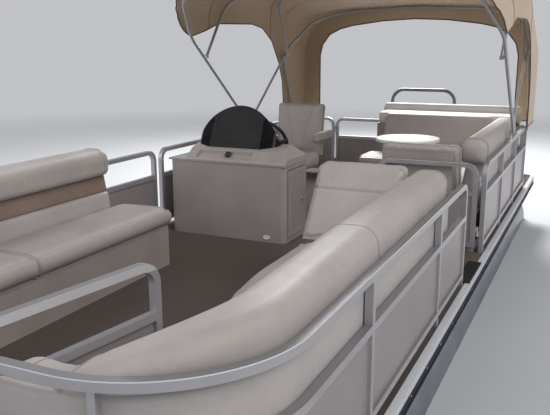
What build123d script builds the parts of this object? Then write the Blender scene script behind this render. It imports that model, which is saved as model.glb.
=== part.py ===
from build123d import *

import os
from math import atan2, cos, degrees, radians, sin, sqrt, tan

# Pontoon boat with two bow lounges, a starboard helm, an L-shaped stern lounge and a folding bimini top.
#
# Millimetres. +X points to the bow, +Y to port, +Z up. Z = 0 is the underside of the two keels, and the
# origin lies midway along the boat's whole length on the centreline. Heights named *_H are measured up
# from the top of the deck; heights named *_Z are measured from the keels.

# Driving sizes
DECK_FORE_X = 3550.0
DECK_AFT_X = -3950.0
DECK_WIDTH = 2590.0
DECK_CORNER_R = 120.0
DECK_BOARD_T = 25.0

TUBE_R = 305.0
TUBE_Y = 915.0
TUBE_AFT_X = -3850.0
NOSE_START_X = 2850.0
NOSE_LENGTH = 850.0
NOSE_TIP_X = NOSE_START_X + NOSE_LENGTH
NOSE_TIP_RISE = 546.0
NOSE_TIP_HALF = 25.0
KEEL_H = 14.0
KEEL_W = 24.0
TOW_EYE_R = 12.0
TOW_EYE_T = 10.0

RISER_W = 40.0
RISER_OFFSET = 110.0
RISER_TOP_Z = 680.0
CHANNEL_H = 90.0
CHANNEL_W = 50.0
CHANNEL_WALL = 6.0
CHANNEL_PITCH = 595.0
CHANNEL_COUNT = 13
CHANNEL_HALF = DECK_WIDTH / 2 - 25.0

TRIM_T = 12.0
TRIM_DROP = 95.0
TRIM_LIP = 25.0
TRIM_LIP_H = 4.0
TRIM_BEAD = 4.0
TRIM_BEAD_H = 12.0
CLEAT_IN = 125.0

RAIL = 32.0
FENCE_IN = 60.0
FENCE_Y = DECK_WIDTH / 2 - FENCE_IN
FRONT_X = 3200.0
REAR_X = -3100.0
CORNER_R = 500.0
CORNER_POST_TURN = 14.5
CORNER_POST = 22.0
SIDE_POSTS_X = (2100.0, 945.0)
BOTTOM_RAIL_TOP_H = 80.0
MID_RAIL_H = 412.0
TOP_RAIL_H = 612.0
TOP_BEND_R = 90.0
PANEL_T = 3.0

BOW_FENCE_RUN = 820.0
BOW_GATE_HALF = FENCE_Y - BOW_FENCE_RUN
BOW_GATE_LIFT = 32.0
SIDE_GATE_FORE_X = 230.0
SIDE_GATE_AFT_X = -520.0
STERN_GATE_Y = (-815.0, -205.0)
GATE_GAP = 15.0
HINGE_IN = 30.0
HINGE_R = 10.0
HINGE_KNUCKLE = 34.0
BOW_GATE_REST = -98.5
SIDE_GATE_REST = -90.0

SEAT_BASE_H = 265.0
SEAT_TOP_H = 385.0
BACK_TOP_H = 600.0
BOLSTER_TOP_H = 775.0
BACK_IN = 22.0
BACK_DEPTH = 190.0
LOUNGE_DEPTH = 610.0
LOUNGE_FRONT_Y = FENCE_Y - LOUNGE_DEPTH
CUSHION_OVERHANG = 35.0
CUSHION_FRONT_Y = LOUNGE_FRONT_Y - CUSHION_OVERHANG
BOW_LOUNGE_END_Y = BOW_GATE_HALF + 120.0
BOLSTER_END_SLOPE = 0.47
CAP_RISE = 12.0
STRIPE_LOW_H = 485.0
STRIPE_IN = 8.0
SEAT_SPLIT_X = 1833.0
SOFT_GAP = 6.0
CHAISE_AFT_X = 450.0
PORT_SEAT_AFT_X = 1005.0
LEANING_BACK_IN = 227.0
CHAISE_BACK_INNER_Y = LOUNGE_FRONT_Y - 155.0
WEDGE_INNER_Y = LOUNGE_FRONT_Y - 125.0
PORT_BACK_AFT_X = 600.0
STARBOARD_LOUNGE_AFT_X = 615.0
STARBOARD_BACK_AFT_X = 685.0

STERN_LOUNGE_FORE_X = SIDE_GATE_AFT_X
BENCH_FRONT_X = -2050.0
BENCH_BACK_X = -2500.0
SUNDECK_X = -2640.0
SUNDECK_AFT_X = -3050.0
STERN_LOUNGE_END_Y = -180.0
SUNPAD_TOP_H = 745.0
STERN_BOLSTER_TOP_H = 835.0

TABLE_X = -1220.0
TABLE_Y = LOUNGE_FRONT_Y - 120.0
TABLE_R = 260.0
TABLE_T = 28.0
TABLE_H = 700.0
TABLE_POST_R = 30.0

CONSOLE_FRONT_X = -147.0
CONSOLE_REAR_X = -550.0
CONSOLE_WIDTH = 984.0
CONSOLE_STARBOARD_Y = -(FENCE_Y - 138.0)
CONSOLE_PORT_Y = CONSOLE_STARBOARD_Y + CONSOLE_WIDTH
CONSOLE_H = 577.0
CONSOLE_WALL = 8.0
CONSOLE_EDGE_R = 45.0
DOOR_FORE_X = -192.0
DOOR_AFT_X = -502.0
DOOR_H = (40.0, 540.0)
DOOR_T = 14.0
DOOR_GAP = 6.0
DASH_TOP_H = 690.0
DASH_STARBOARD_Y = CONSOLE_STARBOARD_Y + 137.0
SCREEN_Y = (CONSOLE_PORT_Y - 155.0, DASH_STARBOARD_Y + 8.0)
SCREEN_FRONT_X = -262.0
SCREEN_WING_X = -560.0
SCREEN_SIDE_H = 650.0
SCREEN_TOP_H = 985.0
SCREEN_T = 5.0
WHEEL_X = -640.0
WHEEL_Y = CONSOLE_PORT_Y - 377.0
WHEEL_H = 705.0
WHEEL_R = 165.0
WHEEL_RAKE = 28.0

THROTTLE_X = -480.0
THROTTLE_Y = DASH_STARBOARD_Y + 90.0

CHAIR_X = -1060.0
CHAIR_Y = WHEEL_Y
CHAIR_SEAT_H = 420.0
CHAIR_TOP_H = 960.0

POD_FORE_X = -2950.0
POD_HALF = 320.0
TRANSOM_X = -4105.0
TRANSOM_TOP_Z = 715.0
TILT_X = TRANSOM_X - 95.0
TILT_Z = 745.0
TILT_REST = 62.0
STEER_X = TILT_X - 85.0
COWL_BEHIND_STEER = 205.0
PROP_R = 155.0

BOW_TUBE_R = 12.5
BIMINI_X = -1800.0
BIMINI_PIVOT_H = 700.0
BIMINI_SHOULDER_Y = FENCE_Y - 415.0
BOW_SPACING_Y = 30.0
FRONT_BOW_ANGLE = 38.3
REAR_BOW_ANGLE = 37.1
SECOND_BOW_AT = 1044.0
SECOND_BOW_ANGLE = 51.8
THIRD_BOW_AT = 1061.0
THIRD_BOW_ANGLE = 66.4
# heights over the deck of a bow's bend, corner, shoulder and crown, and the radii of its bend, corner and shoulder
BOW_SHAPES = {
    "front": ((1500, 1800, 1895, 1930), (500, 280, 700)),
    "second": ((1760, 1900, 1960, 1990), (240, 240, 700)),
    "third": ((1855, 1940, 1975, 2000), (110, 190, 700)),
    "rear": ((1420, 1690, 1800, 1840), (500, 280, 700)),
}
BOW_CORNER_Y = FENCE_Y - 125.0
PIVOT_PIN_R = 5.0
PIN_CLEAR = 0.1
CANVAS_T = 4.0
CANVAS_CLEAR = 3.0
CURTAIN_LOW_H = 665.0

HOOP_X = -3860.0
HOOP_HALF = 360.0
HOOP_TOP_H = 945.0
HOOP_R = 19.0

# Places worked out from them
TUBE_Z = KEEL_H + TUBE_R
CHANNEL_TOP_Z = RISER_TOP_Z + CHANNEL_H
DECK_Z = CHANNEL_TOP_Z + DECK_BOARD_T
RAIL_TOP_H = TOP_RAIL_H + RAIL
MID_RAIL_TOP_H = MID_RAIL_H + RAIL
FRONT_BOW_Y = FENCE_Y + BOW_SPACING_Y
REAR_BOW_Y = FENCE_Y
BEND_IN = TOP_BEND_R - RAIL


def over_deck(height):
    """A height above the deck as a height above the keels."""
    return DECK_Z + height


def block(x, y, z):
    """A box between the two values of each axis."""
    size = [abs(pair[1] - pair[0]) for pair in (x, y, z)]
    middle = [(pair[1] + pair[0]) / 2 for pair in (x, y, z)]
    return Pos(*middle) * Box(*size)


def bar(start, end, radius):
    """A round bar between two points."""
    run = Vector(*end) - Vector(*start)
    circle = Plane(origin=start, z_dir=run) * Circle(radius)
    return extrude(circle, amount=run.length)


def across(face, y_from, y_to):
    """An X-Z outline carried along Y."""
    low, high = sorted((y_from, y_to))
    plane = Plane(origin=(0, high, 0), x_dir=(1, 0, 0), z_dir=(0, -1, 0))
    return extrude(plane * face, amount=high - low)


def along(face, x_from, x_to):
    """A Y-Z outline carried along X."""
    low, high = sorted((x_from, x_to))
    return extrude(Plane.YZ.offset(low) * face, amount=high - low)


def upright(face, z_from, z_to):
    """An X-Y outline carried along Z."""
    return extrude(Plane.XY.offset(z_from) * face, amount=z_to - z_from)


def outline(*points):
    """A closed straight-sided face."""
    return make_face(Polyline(*points, close=True).edges())


def arched(u, z, r_start=0.0, r_end=0.0):
    """A rectangle whose two top corners may be rounded."""
    (u0, u1), (z0, z1) = u, z
    lines = [Line((u0, z0), (u1, z0)), Line((u1, z0), (u1, z1 - r_end))]
    if r_end:
        middle = (u1 - r_end * (1 - cos(radians(45))), z1 - r_end * (1 - sin(radians(45))))
        lines.append(ThreePointArc((u1, z1 - r_end), middle, (u1 - r_end, z1)))
    lines.append(Line((u1 - r_end, z1), (u0 + r_start, z1)))
    if r_start:
        middle = (u0 + r_start * (1 - cos(radians(45))), z1 - r_start * (1 - sin(radians(45))))
        lines.append(ThreePointArc((u0 + r_start, z1), middle, (u0, z1 - r_start)))
    lines.append(Line((u0, z1 - r_start), (u0, z0)))
    return make_face(lines)


def mirrored(shape):
    """The same shape on the other side of the centreline."""
    return mirror(shape, about=Plane.XZ)


def softened(shape, radius, keep=lambda edge: True):
    """Rounds the edges that keep() picks, as an upholsterer's foam is."""
    return fillet([edge for edge in shape.edges() if keep(edge)], radius)


# Hull
def pontoon(y):
    """One closed tube with a swept-up nose, a keel strip and a towing eye."""
    circle = Plane(origin=(TUBE_AFT_X, y, TUBE_Z), x_dir=(0, 1, 0), z_dir=(1, 0, 0)) * Circle(TUBE_R)
    tube = extrude(circle, amount=NOSE_TIP_X - TUBE_AFT_X)
    top = TUBE_Z + TUBE_R + 5
    side = make_face([
        Line((TUBE_AFT_X - 5, KEEL_H), (NOSE_START_X, KEEL_H)),
        TangentArc((NOSE_START_X, KEEL_H), (NOSE_TIP_X, KEEL_H + NOSE_TIP_RISE), tangent=(1, 0)),
        Line((NOSE_TIP_X, KEEL_H + NOSE_TIP_RISE), (NOSE_TIP_X, top)),
        Line((NOSE_TIP_X, top), (TUBE_AFT_X - 5, top)),
        Line((TUBE_AFT_X - 5, top), (TUBE_AFT_X - 5, KEEL_H)),
    ])
    plan = make_face([
        Line((TUBE_AFT_X - 5, y - TUBE_R - 1), (NOSE_START_X, y - TUBE_R - 1)),
        TangentArc((NOSE_START_X, y - TUBE_R - 1), (NOSE_TIP_X, y - NOSE_TIP_HALF), tangent=(1, 0)),
        Line((NOSE_TIP_X, y - NOSE_TIP_HALF), (NOSE_TIP_X, y + NOSE_TIP_HALF)),
        TangentArc((NOSE_START_X, y + TUBE_R + 1), (NOSE_TIP_X, y + NOSE_TIP_HALF), tangent=(1, 0)),
        Line((NOSE_START_X, y + TUBE_R + 1), (TUBE_AFT_X - 5, y + TUBE_R + 1)),
        Line((TUBE_AFT_X - 5, y + TUBE_R + 1), (TUBE_AFT_X - 5, y - TUBE_R - 1)),
    ])
    hull = tube & across(side, y - TUBE_R - 5, y + TUBE_R + 5) & upright(plan, -5, top)
    keel = block((TUBE_AFT_X + 40, NOSE_START_X), (y - KEEL_W / 2, y + KEEL_W / 2), (0, KEEL_H + 6))
    eye_x, eye_z = NOSE_TIP_X - 62, KEEL_H + NOSE_TIP_RISE - 158
    lug = Pos(eye_x, eye_z) * Circle(2.2 * TOW_EYE_R)
    lug += outline((eye_x - 24, eye_z - 6), (eye_x + 24, eye_z + 8), (eye_x + 40, eye_z + 120), (eye_x - 60, eye_z + 50))
    lug -= Pos(eye_x, eye_z) * Circle(TOW_EYE_R)
    return hull + keel + across(lug, y - TOW_EYE_T / 2, y + TOW_EYE_T / 2)


def deck_risers():
    """Long brackets that seat on the shoulders of the tubes and carry the cross channels."""
    bars = []
    for tube_y in (-TUBE_Y, TUBE_Y):
        barrel = bar((TUBE_AFT_X - 50, tube_y, TUBE_Z), (NOSE_TIP_X, tube_y, TUBE_Z), TUBE_R)
        for offset in (-RISER_OFFSET, RISER_OFFSET):
            y = tube_y + offset
            bars.append(block((TUBE_AFT_X + 50, NOSE_START_X - 50), (y - RISER_W / 2, y + RISER_W / 2),
                              (TUBE_Z + TUBE_R * 0.8, RISER_TOP_Z)) - barrel)
    return bars


def cross_channels():
    """Aluminium C channels across both tubes."""
    w, h, t = CHANNEL_W, CHANNEL_H, CHANNEL_WALL
    profile = outline((0, 0), (w, 0), (w, t), (t, t), (t, h - t), (w, h - t), (w, h), (0, h))
    first = (DECK_FORE_X + DECK_AFT_X) / 2 - CHANNEL_PITCH * (CHANNEL_COUNT - 1) / 2
    return [across(Pos(first + CHANNEL_PITCH * i - w / 2, RISER_TOP_Z) * profile, -CHANNEL_HALF, CHANNEL_HALF)
            for i in range(CHANNEL_COUNT)]


def deck_plan(grow):
    """The deck's round-cornered outline, grown or shrunk all round."""
    length = DECK_FORE_X - DECK_AFT_X + 2 * grow
    middle = (DECK_FORE_X + DECK_AFT_X) / 2
    return Pos(middle, 0) * RectangleRounded(length, DECK_WIDTH + 2 * grow, DECK_CORNER_R + grow)


def deck_boards():
    """The plywood floor, which carries the carpet."""
    return upright(deck_plan(-TRIM_T), CHANNEL_TOP_Z, DECK_Z)


def deck_edge_trim():
    """The extrusion that wraps the deck's edge, with a lip over the carpet and two rub beads."""
    def ring(grow, inset, z_from, z_to):
        return upright(deck_plan(grow) - deck_plan(-inset), z_from, z_to)
    trim = ring(0, TRIM_T, DECK_Z - TRIM_DROP, DECK_Z)
    trim += ring(0, TRIM_T + TRIM_LIP, DECK_Z, DECK_Z + TRIM_LIP_H)
    for bead_top in (DECK_Z - 8, DECK_Z - TRIM_DROP + 2 * TRIM_BEAD_H):
        trim += ring(TRIM_BEAD, 1, bead_top - TRIM_BEAD_H, bead_top)
    return trim


def motor_pod():
    """The box under the stern that carries the transom."""
    side = outline((POD_FORE_X, RISER_TOP_Z), (TRANSOM_X + 130, RISER_TOP_Z), (TRANSOM_X + 55, TRANSOM_TOP_Z),
                   (TRANSOM_X, TRANSOM_TOP_Z), (TRANSOM_X + 45, 300), (POD_FORE_X - 450, 300))
    return across(side, -POD_HALF, POD_HALF)


def mooring_cleats():
    """Four horn cleats on the deck's corners."""
    cleats = []
    for x in (DECK_AFT_X + CLEAT_IN, DECK_FORE_X - CLEAT_IN):
        for y in (CLEAT_IN - DECK_WIDTH / 2, DECK_WIDTH / 2 - CLEAT_IN):
            foot = block((x - 45, x + 45), (y - 16, y + 16), (DECK_Z, DECK_Z + 8))
            stems = [block((x + dx - 9, x + dx + 9), (y - 8, y + 8), (DECK_Z + 4, DECK_Z + 36)) for dx in (-26, 26)]
            horn = bar((x - 90, y, DECK_Z + 40), (x + 90, y, DECK_Z + 40), 9)
            cleats.append(foot + stems[0] + stems[1] + horn)
    return cleats


# Fence
def frame_face(length, posts, foot, r_start, r_end):
    """The flat frame of one fence section: rails, posts and the windows between them."""
    face = arched((0, length), (BOTTOM_RAIL_TOP_H - RAIL, RAIL_TOP_H), r_start and TOP_BEND_R, r_end and TOP_BEND_R)
    for left, right in zip(posts[:-1], posts[1:]):
        window = (left + RAIL / 2, right - RAIL / 2)
        start = BEND_IN if r_start and left == posts[0] else 0
        end = BEND_IN if r_end and right == posts[-1] else 0
        face -= arched(window, (MID_RAIL_TOP_H, TOP_RAIL_H), start, end)
        face -= arched(window, (BOTTOM_RAIL_TOP_H, MID_RAIL_H))
    if foot:
        for post in [post for post in posts if post > 0]:
            face += arched((post - RAIL / 2, post + RAIL / 2), (0, BOTTOM_RAIL_TOP_H))
    return face


def fence_plane(start, end):
    """The plane of a fence section from start to end, with its height along the plane's own Y."""
    run = Vector(end[0] - start[0], end[1] - start[1], 0)
    return Plane(origin=(start[0], start[1], DECK_Z), x_dir=run, z_dir=run.cross(Vector(0, 0, 1)))


def fence_section(start, end, inner_posts=(), r_start=True, r_end=True, foot=True, start_post=True):
    """(frame, panels) of a straight run of fence; inner_posts are distances along it."""
    length = sqrt((end[0] - start[0]) ** 2 + (end[1] - start[1]) ** 2)
    posts = [RAIL / 2 if start_post else -RAIL / 2, *inner_posts, length - RAIL / 2]
    plane = fence_plane(start, end)
    frame = extrude(plane * frame_face(length, posts, foot, r_start, r_end), amount=RAIL / 2, both=True)
    panels = [extrude(plane * arched((a + RAIL / 2, b - RAIL / 2), (BOTTOM_RAIL_TOP_H, MID_RAIL_H)),
                      amount=PANEL_T / 2, both=True) for a, b in zip(posts[:-1], posts[1:])]
    return frame, panels


def fence_corner():
    """(frame, panels) of the round port bow corner, turned through a quarter about its centre, with one post."""
    centre = (FRONT_X - CORNER_R, FENCE_Y - CORNER_R)
    axis = Axis((centre[0], centre[1], 0), (0, 0, 1))
    plane = Plane(origin=(0, centre[1], DECK_Z), x_dir=(1, 0, 0), z_dir=(0, -1, 0))
    def turned(width, low, high):
        face = arched((FRONT_X - width / 2, FRONT_X + width / 2), (low, high))
        return revolve(plane * face, axis=axis, revolution_arc=90)
    frame = turned(RAIL, BOTTOM_RAIL_TOP_H - RAIL, BOTTOM_RAIL_TOP_H)
    frame += turned(RAIL, MID_RAIL_H, MID_RAIL_TOP_H)
    frame += turned(RAIL, TOP_RAIL_H, RAIL_TOP_H)
    half = CORNER_POST / 2
    post = block((CORNER_R - half, CORNER_R + half), (-half, half), (DECK_Z, over_deck(TOP_RAIL_H + 4)))
    post = Pos(*centre, 0) * Rot(0, 0, CORNER_POST_TURN) * post
    return frame + post, turned(PANEL_T, BOTTOM_RAIL_TOP_H, MID_RAIL_H) - post


def hinge_knuckles(axis_at, turn, side):
    """Two hinge knuckles and their leaves; side is -1 on the post and +1 on the gate, which sits on top."""
    parts = None
    for low in (120.0, 480.0):
        low += (HINGE_KNUCKLE + 1) * (side > 0)
        z = (over_deck(low), over_deck(low + HINGE_KNUCKLE))
        leaf = block((0, side * 13), (0, HINGE_IN - RAIL / 2 + 5), z)
        knuckle = leaf + bar((0, 0, z[0]), (0, 0, z[1]), HINGE_R)
        parts = knuckle if parts is None else parts + knuckle
    return Pos(axis_at[0], axis_at[1], 0) * Rot(0, 0, turn) * parts


def gate(axis_at, turn, width, rest, lift=0.0):
    """(frame, panel) of a gate hung on a vertical axis; turn is its closed heading and rest its opening."""
    near = GATE_GAP / 2
    frame, panels = fence_section((near, HINGE_IN), (near + width, HINGE_IN), foot=False)
    place = Pos(axis_at[0], axis_at[1], lift) * Rot(0, 0, turn + rest)
    return place * frame + hinge_knuckles(axis_at, turn + rest, 1), place * panels[0]


BOW_GATE_HINGE = (FRONT_X - HINGE_IN, BOW_GATE_HALF - GATE_GAP / 2)
SIDE_GATE_HINGE = (SIDE_GATE_AFT_X + GATE_GAP / 2, FENCE_Y - HINGE_IN)
STERN_GATE_HINGE = (REAR_X + HINGE_IN, STERN_GATE_Y[0] + GATE_GAP / 2)


def fences():
    """Frames and panels that stand on the deck, port side first."""
    corner, corner_panels = fence_corner()
    side_start = (FRONT_X - CORNER_R, FENCE_Y)
    front_start = (FRONT_X, FENCE_Y - CORNER_R)
    inside = FENCE_Y - RAIL / 2
    front, front_panels = fence_section(front_start, (FRONT_X, BOW_GATE_HALF), r_start=False, start_post=False)
    side_posts = [side_start[0] - x for x in SIDE_POSTS_X]
    frames, panels = {}, {}

    side, side_panels = fence_section(side_start, (SIDE_GATE_FORE_X, FENCE_Y), side_posts, r_start=False, start_post=False)
    port_bow = front + corner + side + hinge_knuckles(BOW_GATE_HINGE, -90, -1)
    aft, aft_panels = fence_section((SIDE_GATE_AFT_X, FENCE_Y), (REAR_X - RAIL / 2, FENCE_Y), (860, 1730))
    rear, rear_panels = fence_section((REAR_X, inside), (REAR_X, STERN_GATE_Y[1]), (700,), r_start=False)
    frames["port"] = [port_bow, aft + rear + hinge_knuckles(SIDE_GATE_HINGE, 0, -1)]
    panels["port"] = [*front_panels, *corner_panels.solids(), *side_panels, *aft_panels, *rear_panels]

    side, side_panels = fence_section(side_start, (-140, FENCE_Y), side_posts, r_start=False, start_post=False)
    bow = mirrored(front + corner + side)
    aft, aft_panels = fence_section((-210, -FENCE_Y), (REAR_X - RAIL / 2, -FENCE_Y), (980, 1950))
    rear, rear_panels = fence_section((REAR_X, -inside), (REAR_X, STERN_GATE_Y[0]), r_start=False)
    starboard_aft = aft + rear + hinge_knuckles(STERN_GATE_HINGE, 90, -1)
    frames["starboard"] = [bow, starboard_aft]
    panels["starboard"] = [*[mirrored(p) for p in (*front_panels, *corner_panels.solids(), *side_panels)],
                           *aft_panels, *rear_panels]
    return frames, panels


# Lounges
def wrapped(profile, aft_x, front_y):
    """An (inset from the fence, height) outline carried along the port side and round the bow corner."""
    centre = (FRONT_X - CORNER_R, FENCE_Y - CORNER_R)
    side = Plane(origin=(aft_x, FENCE_Y, DECK_Z), x_dir=(0, -1, 0), z_dir=(-1, 0, 0))
    run = extrude(side * profile, amount=-(centre[0] - aft_x))
    bow = Plane(origin=(FRONT_X, centre[1], DECK_Z), x_dir=(-1, 0, 0), z_dir=(0, 1, 0))
    turn = revolve(bow * profile, axis=Axis((centre[0], centre[1], 0), (0, 0, 1)), revolution_arc=90)
    front = extrude(bow * profile, amount=-(centre[1] - front_y))
    return run + turn + front


def lounge_plan(aft_x, inset, inner_y, front_inset):
    """Plan of a bow lounge: straight inboard edge and a round outer bow corner."""
    centre_x, centre_y = FRONT_X - CORNER_R, FENCE_Y - CORNER_R
    outer_y, front_x, r = FENCE_Y - inset, FRONT_X - front_inset, CORNER_R - inset
    middle = (centre_x + r * cos(radians(45)), centre_y + r * sin(radians(45)))
    return make_face([
        Line((aft_x, inner_y), (front_x, inner_y)), Line((front_x, inner_y), (front_x, centre_y)),
        ThreePointArc((front_x, centre_y), middle, (centre_x, outer_y)),
        Line((centre_x, outer_y), (aft_x, outer_y)), Line((aft_x, outer_y), (aft_x, inner_y)),
    ])


def lounge_base(aft_x):
    """A rotomoulded seat base."""
    return upright(lounge_plan(aft_x, 50, LOUNGE_FRONT_Y, 50), DECK_Z, over_deck(SEAT_BASE_H))


def back_face_in(height):
    """How far in from the fence a back's face is: upright to the seat, then leaning out to the bolster."""
    return BACK_IN + BACK_DEPTH - 40 * max(0, height - SEAT_TOP_H) / (BACK_TOP_H - SEAT_TOP_H)


def back_profile(top=STRIPE_LOW_H):
    """The back pad that a sitter's loins rest on."""
    return outline((BACK_IN, SEAT_BASE_H), (back_face_in(0), SEAT_BASE_H), (back_face_in(0), SEAT_TOP_H),
                   (back_face_in(top), top), (BACK_IN, top))


def stripe_profile():
    """The recessed tan band between a back pad and its bolster."""
    return outline((BACK_IN, STRIPE_LOW_H), (back_face_in(STRIPE_LOW_H) - STRIPE_IN, STRIPE_LOW_H),
                   (back_face_in(BACK_TOP_H) - STRIPE_IN, BACK_TOP_H), (BACK_IN, BACK_TOP_H))


def bolster_profile(top=BOLSTER_TOP_H, depth=205.0):
    """The fat rolled top of a back."""
    face = outline((BACK_IN, BACK_TOP_H), (BACK_IN + depth, BACK_TOP_H), (BACK_IN + depth, top), (BACK_IN, top))
    high = [v for v in face.vertices() if v.Y > top - 1]
    face = fillet(high, 68)
    return fillet([v for v in face.vertices() if v.Y < BACK_TOP_H + 1 and v.X > BACK_IN + 100], 38)


def seat_pads(aft_x, split_x):
    """The two seat cushions of a bow lounge, with a rolled inboard edge."""
    plan = lounge_plan(aft_x, BACK_IN + BACK_DEPTH + 5, CUSHION_FRONT_Y, BACK_IN + BACK_DEPTH + 5)
    pads = []
    for low, high in ((aft_x, split_x - SOFT_GAP / 2), (split_x + SOFT_GAP / 2, FRONT_X)):
        cut = upright(plan, over_deck(SEAT_BASE_H), over_deck(SEAT_TOP_H))
        pad = cut & block((low, high), (0, FENCE_Y), (DECK_Z, over_deck(BOLSTER_TOP_H)))
        roll = [e for e in pad.edges().filter_by(Axis.X) if abs(e.center().Y - CUSHION_FRONT_Y) < 1]
        pads.append(fillet(roll, 48))
    return pads


def bow_bolster(aft_x):
    """The bolster along the side, round the corner and down to a low cap beside the bow gate."""
    roll = wrapped(bolster_profile(), aft_x, BOW_LOUNGE_END_Y)
    high, low = FENCE_Y - 130, FENCE_Y - 470
    top = over_deck(BOLSTER_TOP_H)
    saddle = top - BOLSTER_END_SLOPE * (high - low)
    end = BOW_LOUNGE_END_Y - 10
    wedge = outline((high, top), (high, top + 50), (end, top + 50), (end, saddle + CAP_RISE),
                    (low - 110, saddle + CAP_RISE), (low - 60, saddle), (low, saddle))
    return roll - along(wedge, FRONT_X - 800, FRONT_X + 50)


def chaise_back():
    """The reclined back at the aft end of the port bow lounge."""
    lean = outline((1000, SEAT_TOP_H), (715, 775), (590, 775), (870, SEAT_TOP_H))
    slab = Pos(0, 0, DECK_Z) * across(lean, CHAISE_BACK_INNER_Y, FENCE_Y - LEANING_BACK_IN)
    return softened(slab, 22, lambda e: e.center().Y < CHAISE_BACK_INNER_Y + 1 and e.length > 100 or e.center().Z > over_deck(774))


def chaise_support():
    """The moulded wedge behind the chaise back."""
    side = outline((CHAISE_AFT_X, 0), (870, 0), (870, SEAT_TOP_H - 20), (578, 690), (500, 700), (CHAISE_AFT_X, 640))
    return Pos(0, 0, DECK_Z) * across(side, WEDGE_INNER_Y, FENCE_Y - LEANING_BACK_IN)


def stern_lounge():
    """(base, seats, backs, bolsters, forward back) of the L-shaped stern lounge and its sun pad."""
    outer = FENCE_Y - 50
    run = block((STERN_LOUNGE_FORE_X, SUNDECK_AFT_X), (LOUNGE_FRONT_Y, outer), (DECK_Z, over_deck(SEAT_BASE_H)))
    bench = block((BENCH_FRONT_X, SUNDECK_AFT_X), (STERN_LOUNGE_END_Y, outer), (DECK_Z, over_deck(SEAT_BASE_H)))
    deck = block((SUNDECK_X, SUNDECK_AFT_X), (STERN_LOUNGE_END_Y, outer), (DECK_Z, over_deck(SUNPAD_TOP_H - 90)))
    wedge = outline((STERN_LOUNGE_FORE_X, 0), (-640, 0), (-640, SEAT_TOP_H), (-548, 690), (STERN_LOUNGE_FORE_X, 690))
    base = run + bench + deck + Pos(0, 0, DECK_Z) * across(wedge, WEDGE_INNER_Y, FENCE_Y - LEANING_BACK_IN)

    inner = FENCE_Y - BACK_IN - BACK_DEPTH - 5
    seat_z = (over_deck(SEAT_BASE_H), over_deck(SEAT_TOP_H))
    side_seat = block((-760, BENCH_FRONT_X + 32), (CUSHION_FRONT_Y, inner), seat_z)
    side_seat = softened(side_seat, 48, lambda e: abs(e.center().Y - CUSHION_FRONT_Y) < 1 and e.length > 500)
    corner_seat = block((BENCH_FRONT_X + 26, BENCH_BACK_X + 20), (STERN_LOUNGE_END_Y, inner), seat_z)
    corner_seat = softened(corner_seat, 40, lambda e: abs(e.center().X - BENCH_FRONT_X - 26) < 1 and e.length > 500)

    side_plane = Plane(origin=(-800, FENCE_Y, DECK_Z), x_dir=(0, -1, 0), z_dir=(-1, 0, 0))
    side_back = extrude(side_plane * back_profile(BACK_TOP_H), amount=-(BENCH_BACK_X - 10) - 800)
    rear_back = outline((BENCH_BACK_X + 15, SEAT_TOP_H), (BENCH_BACK_X - 30, 740), (BENCH_BACK_X - 60, 780),
                        (SUNDECK_X + 45, 785), (SUNDECK_X + 5, 760), (SUNDECK_X + 5, SEAT_BASE_H), (BENCH_BACK_X + 15, SEAT_BASE_H))
    rear_back = Pos(0, 0, DECK_Z) * across(rear_back, -80, inner)
    sun_pad = block((SUNDECK_X - 2, SUNDECK_AFT_X + 80), (STERN_LOUNGE_END_Y, outer - 20),
                    (over_deck(SUNPAD_TOP_H - 90), over_deck(SUNPAD_TOP_H)))
    sun_pad = softened(sun_pad, 30, lambda e: e.center().Z > over_deck(SUNPAD_TOP_H) - 1)

    roll_plane = Plane(origin=(-730, FENCE_Y, DECK_Z), x_dir=(0, -1, 0), z_dir=(-1, 0, 0))
    side_roll = extrude(roll_plane * bolster_profile(), amount=-(BENCH_BACK_X - 10) - 730)
    rear_roll = arched((SUNDECK_AFT_X - 22, SUNDECK_AFT_X + 74), (SUNPAD_TOP_H - 88, STERN_BOLSTER_TOP_H), 44, 44)
    rear_roll = Pos(0, 0, DECK_Z) * across(rear_roll, STERN_LOUNGE_END_Y - 40, outer + 20)

    lean = outline((-555, 755), (-650, 760), (-755, SEAT_TOP_H), (-645, SEAT_TOP_H))
    back_y = (LOUNGE_FRONT_Y - 176, FENCE_Y - 163)
    forward_back = Pos(0, 0, DECK_Z) * across(lean, *back_y)
    front = arched(back_y, (SEAT_TOP_H - 5, 765), 50, 50)
    forward_back = forward_back & Pos(0, 0, DECK_Z) * along(front, -800, -500)
    forward_back = softened(forward_back, 20, lambda e: e.center().Z > over_deck(750))
    return base, [side_seat, corner_seat], [side_back, rear_back, sun_pad], [side_roll, rear_roll], forward_back


def table_top():
    """A round dinette top with a rounded edge."""
    disc = Pos(TABLE_X, TABLE_Y, over_deck(TABLE_H) - TABLE_T / 2) * Cylinder(TABLE_R, TABLE_T)
    return softened(disc, 9)


def table_post():
    """The table's pillar, floor socket and top plate."""
    foot = Pos(TABLE_X, TABLE_Y, DECK_Z + 10) * Cylinder(105, 20)
    socket = Pos(TABLE_X, TABLE_Y, DECK_Z + 60) * Cylinder(TABLE_POST_R + 12, 120)
    post = bar((TABLE_X, TABLE_Y, DECK_Z), (TABLE_X, TABLE_Y, over_deck(TABLE_H - TABLE_T)), TABLE_POST_R)
    plate = Pos(TABLE_X, TABLE_Y, over_deck(TABLE_H - TABLE_T) - 6) * Cylinder(95, 12)
    return foot + socket + post + plate


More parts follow.
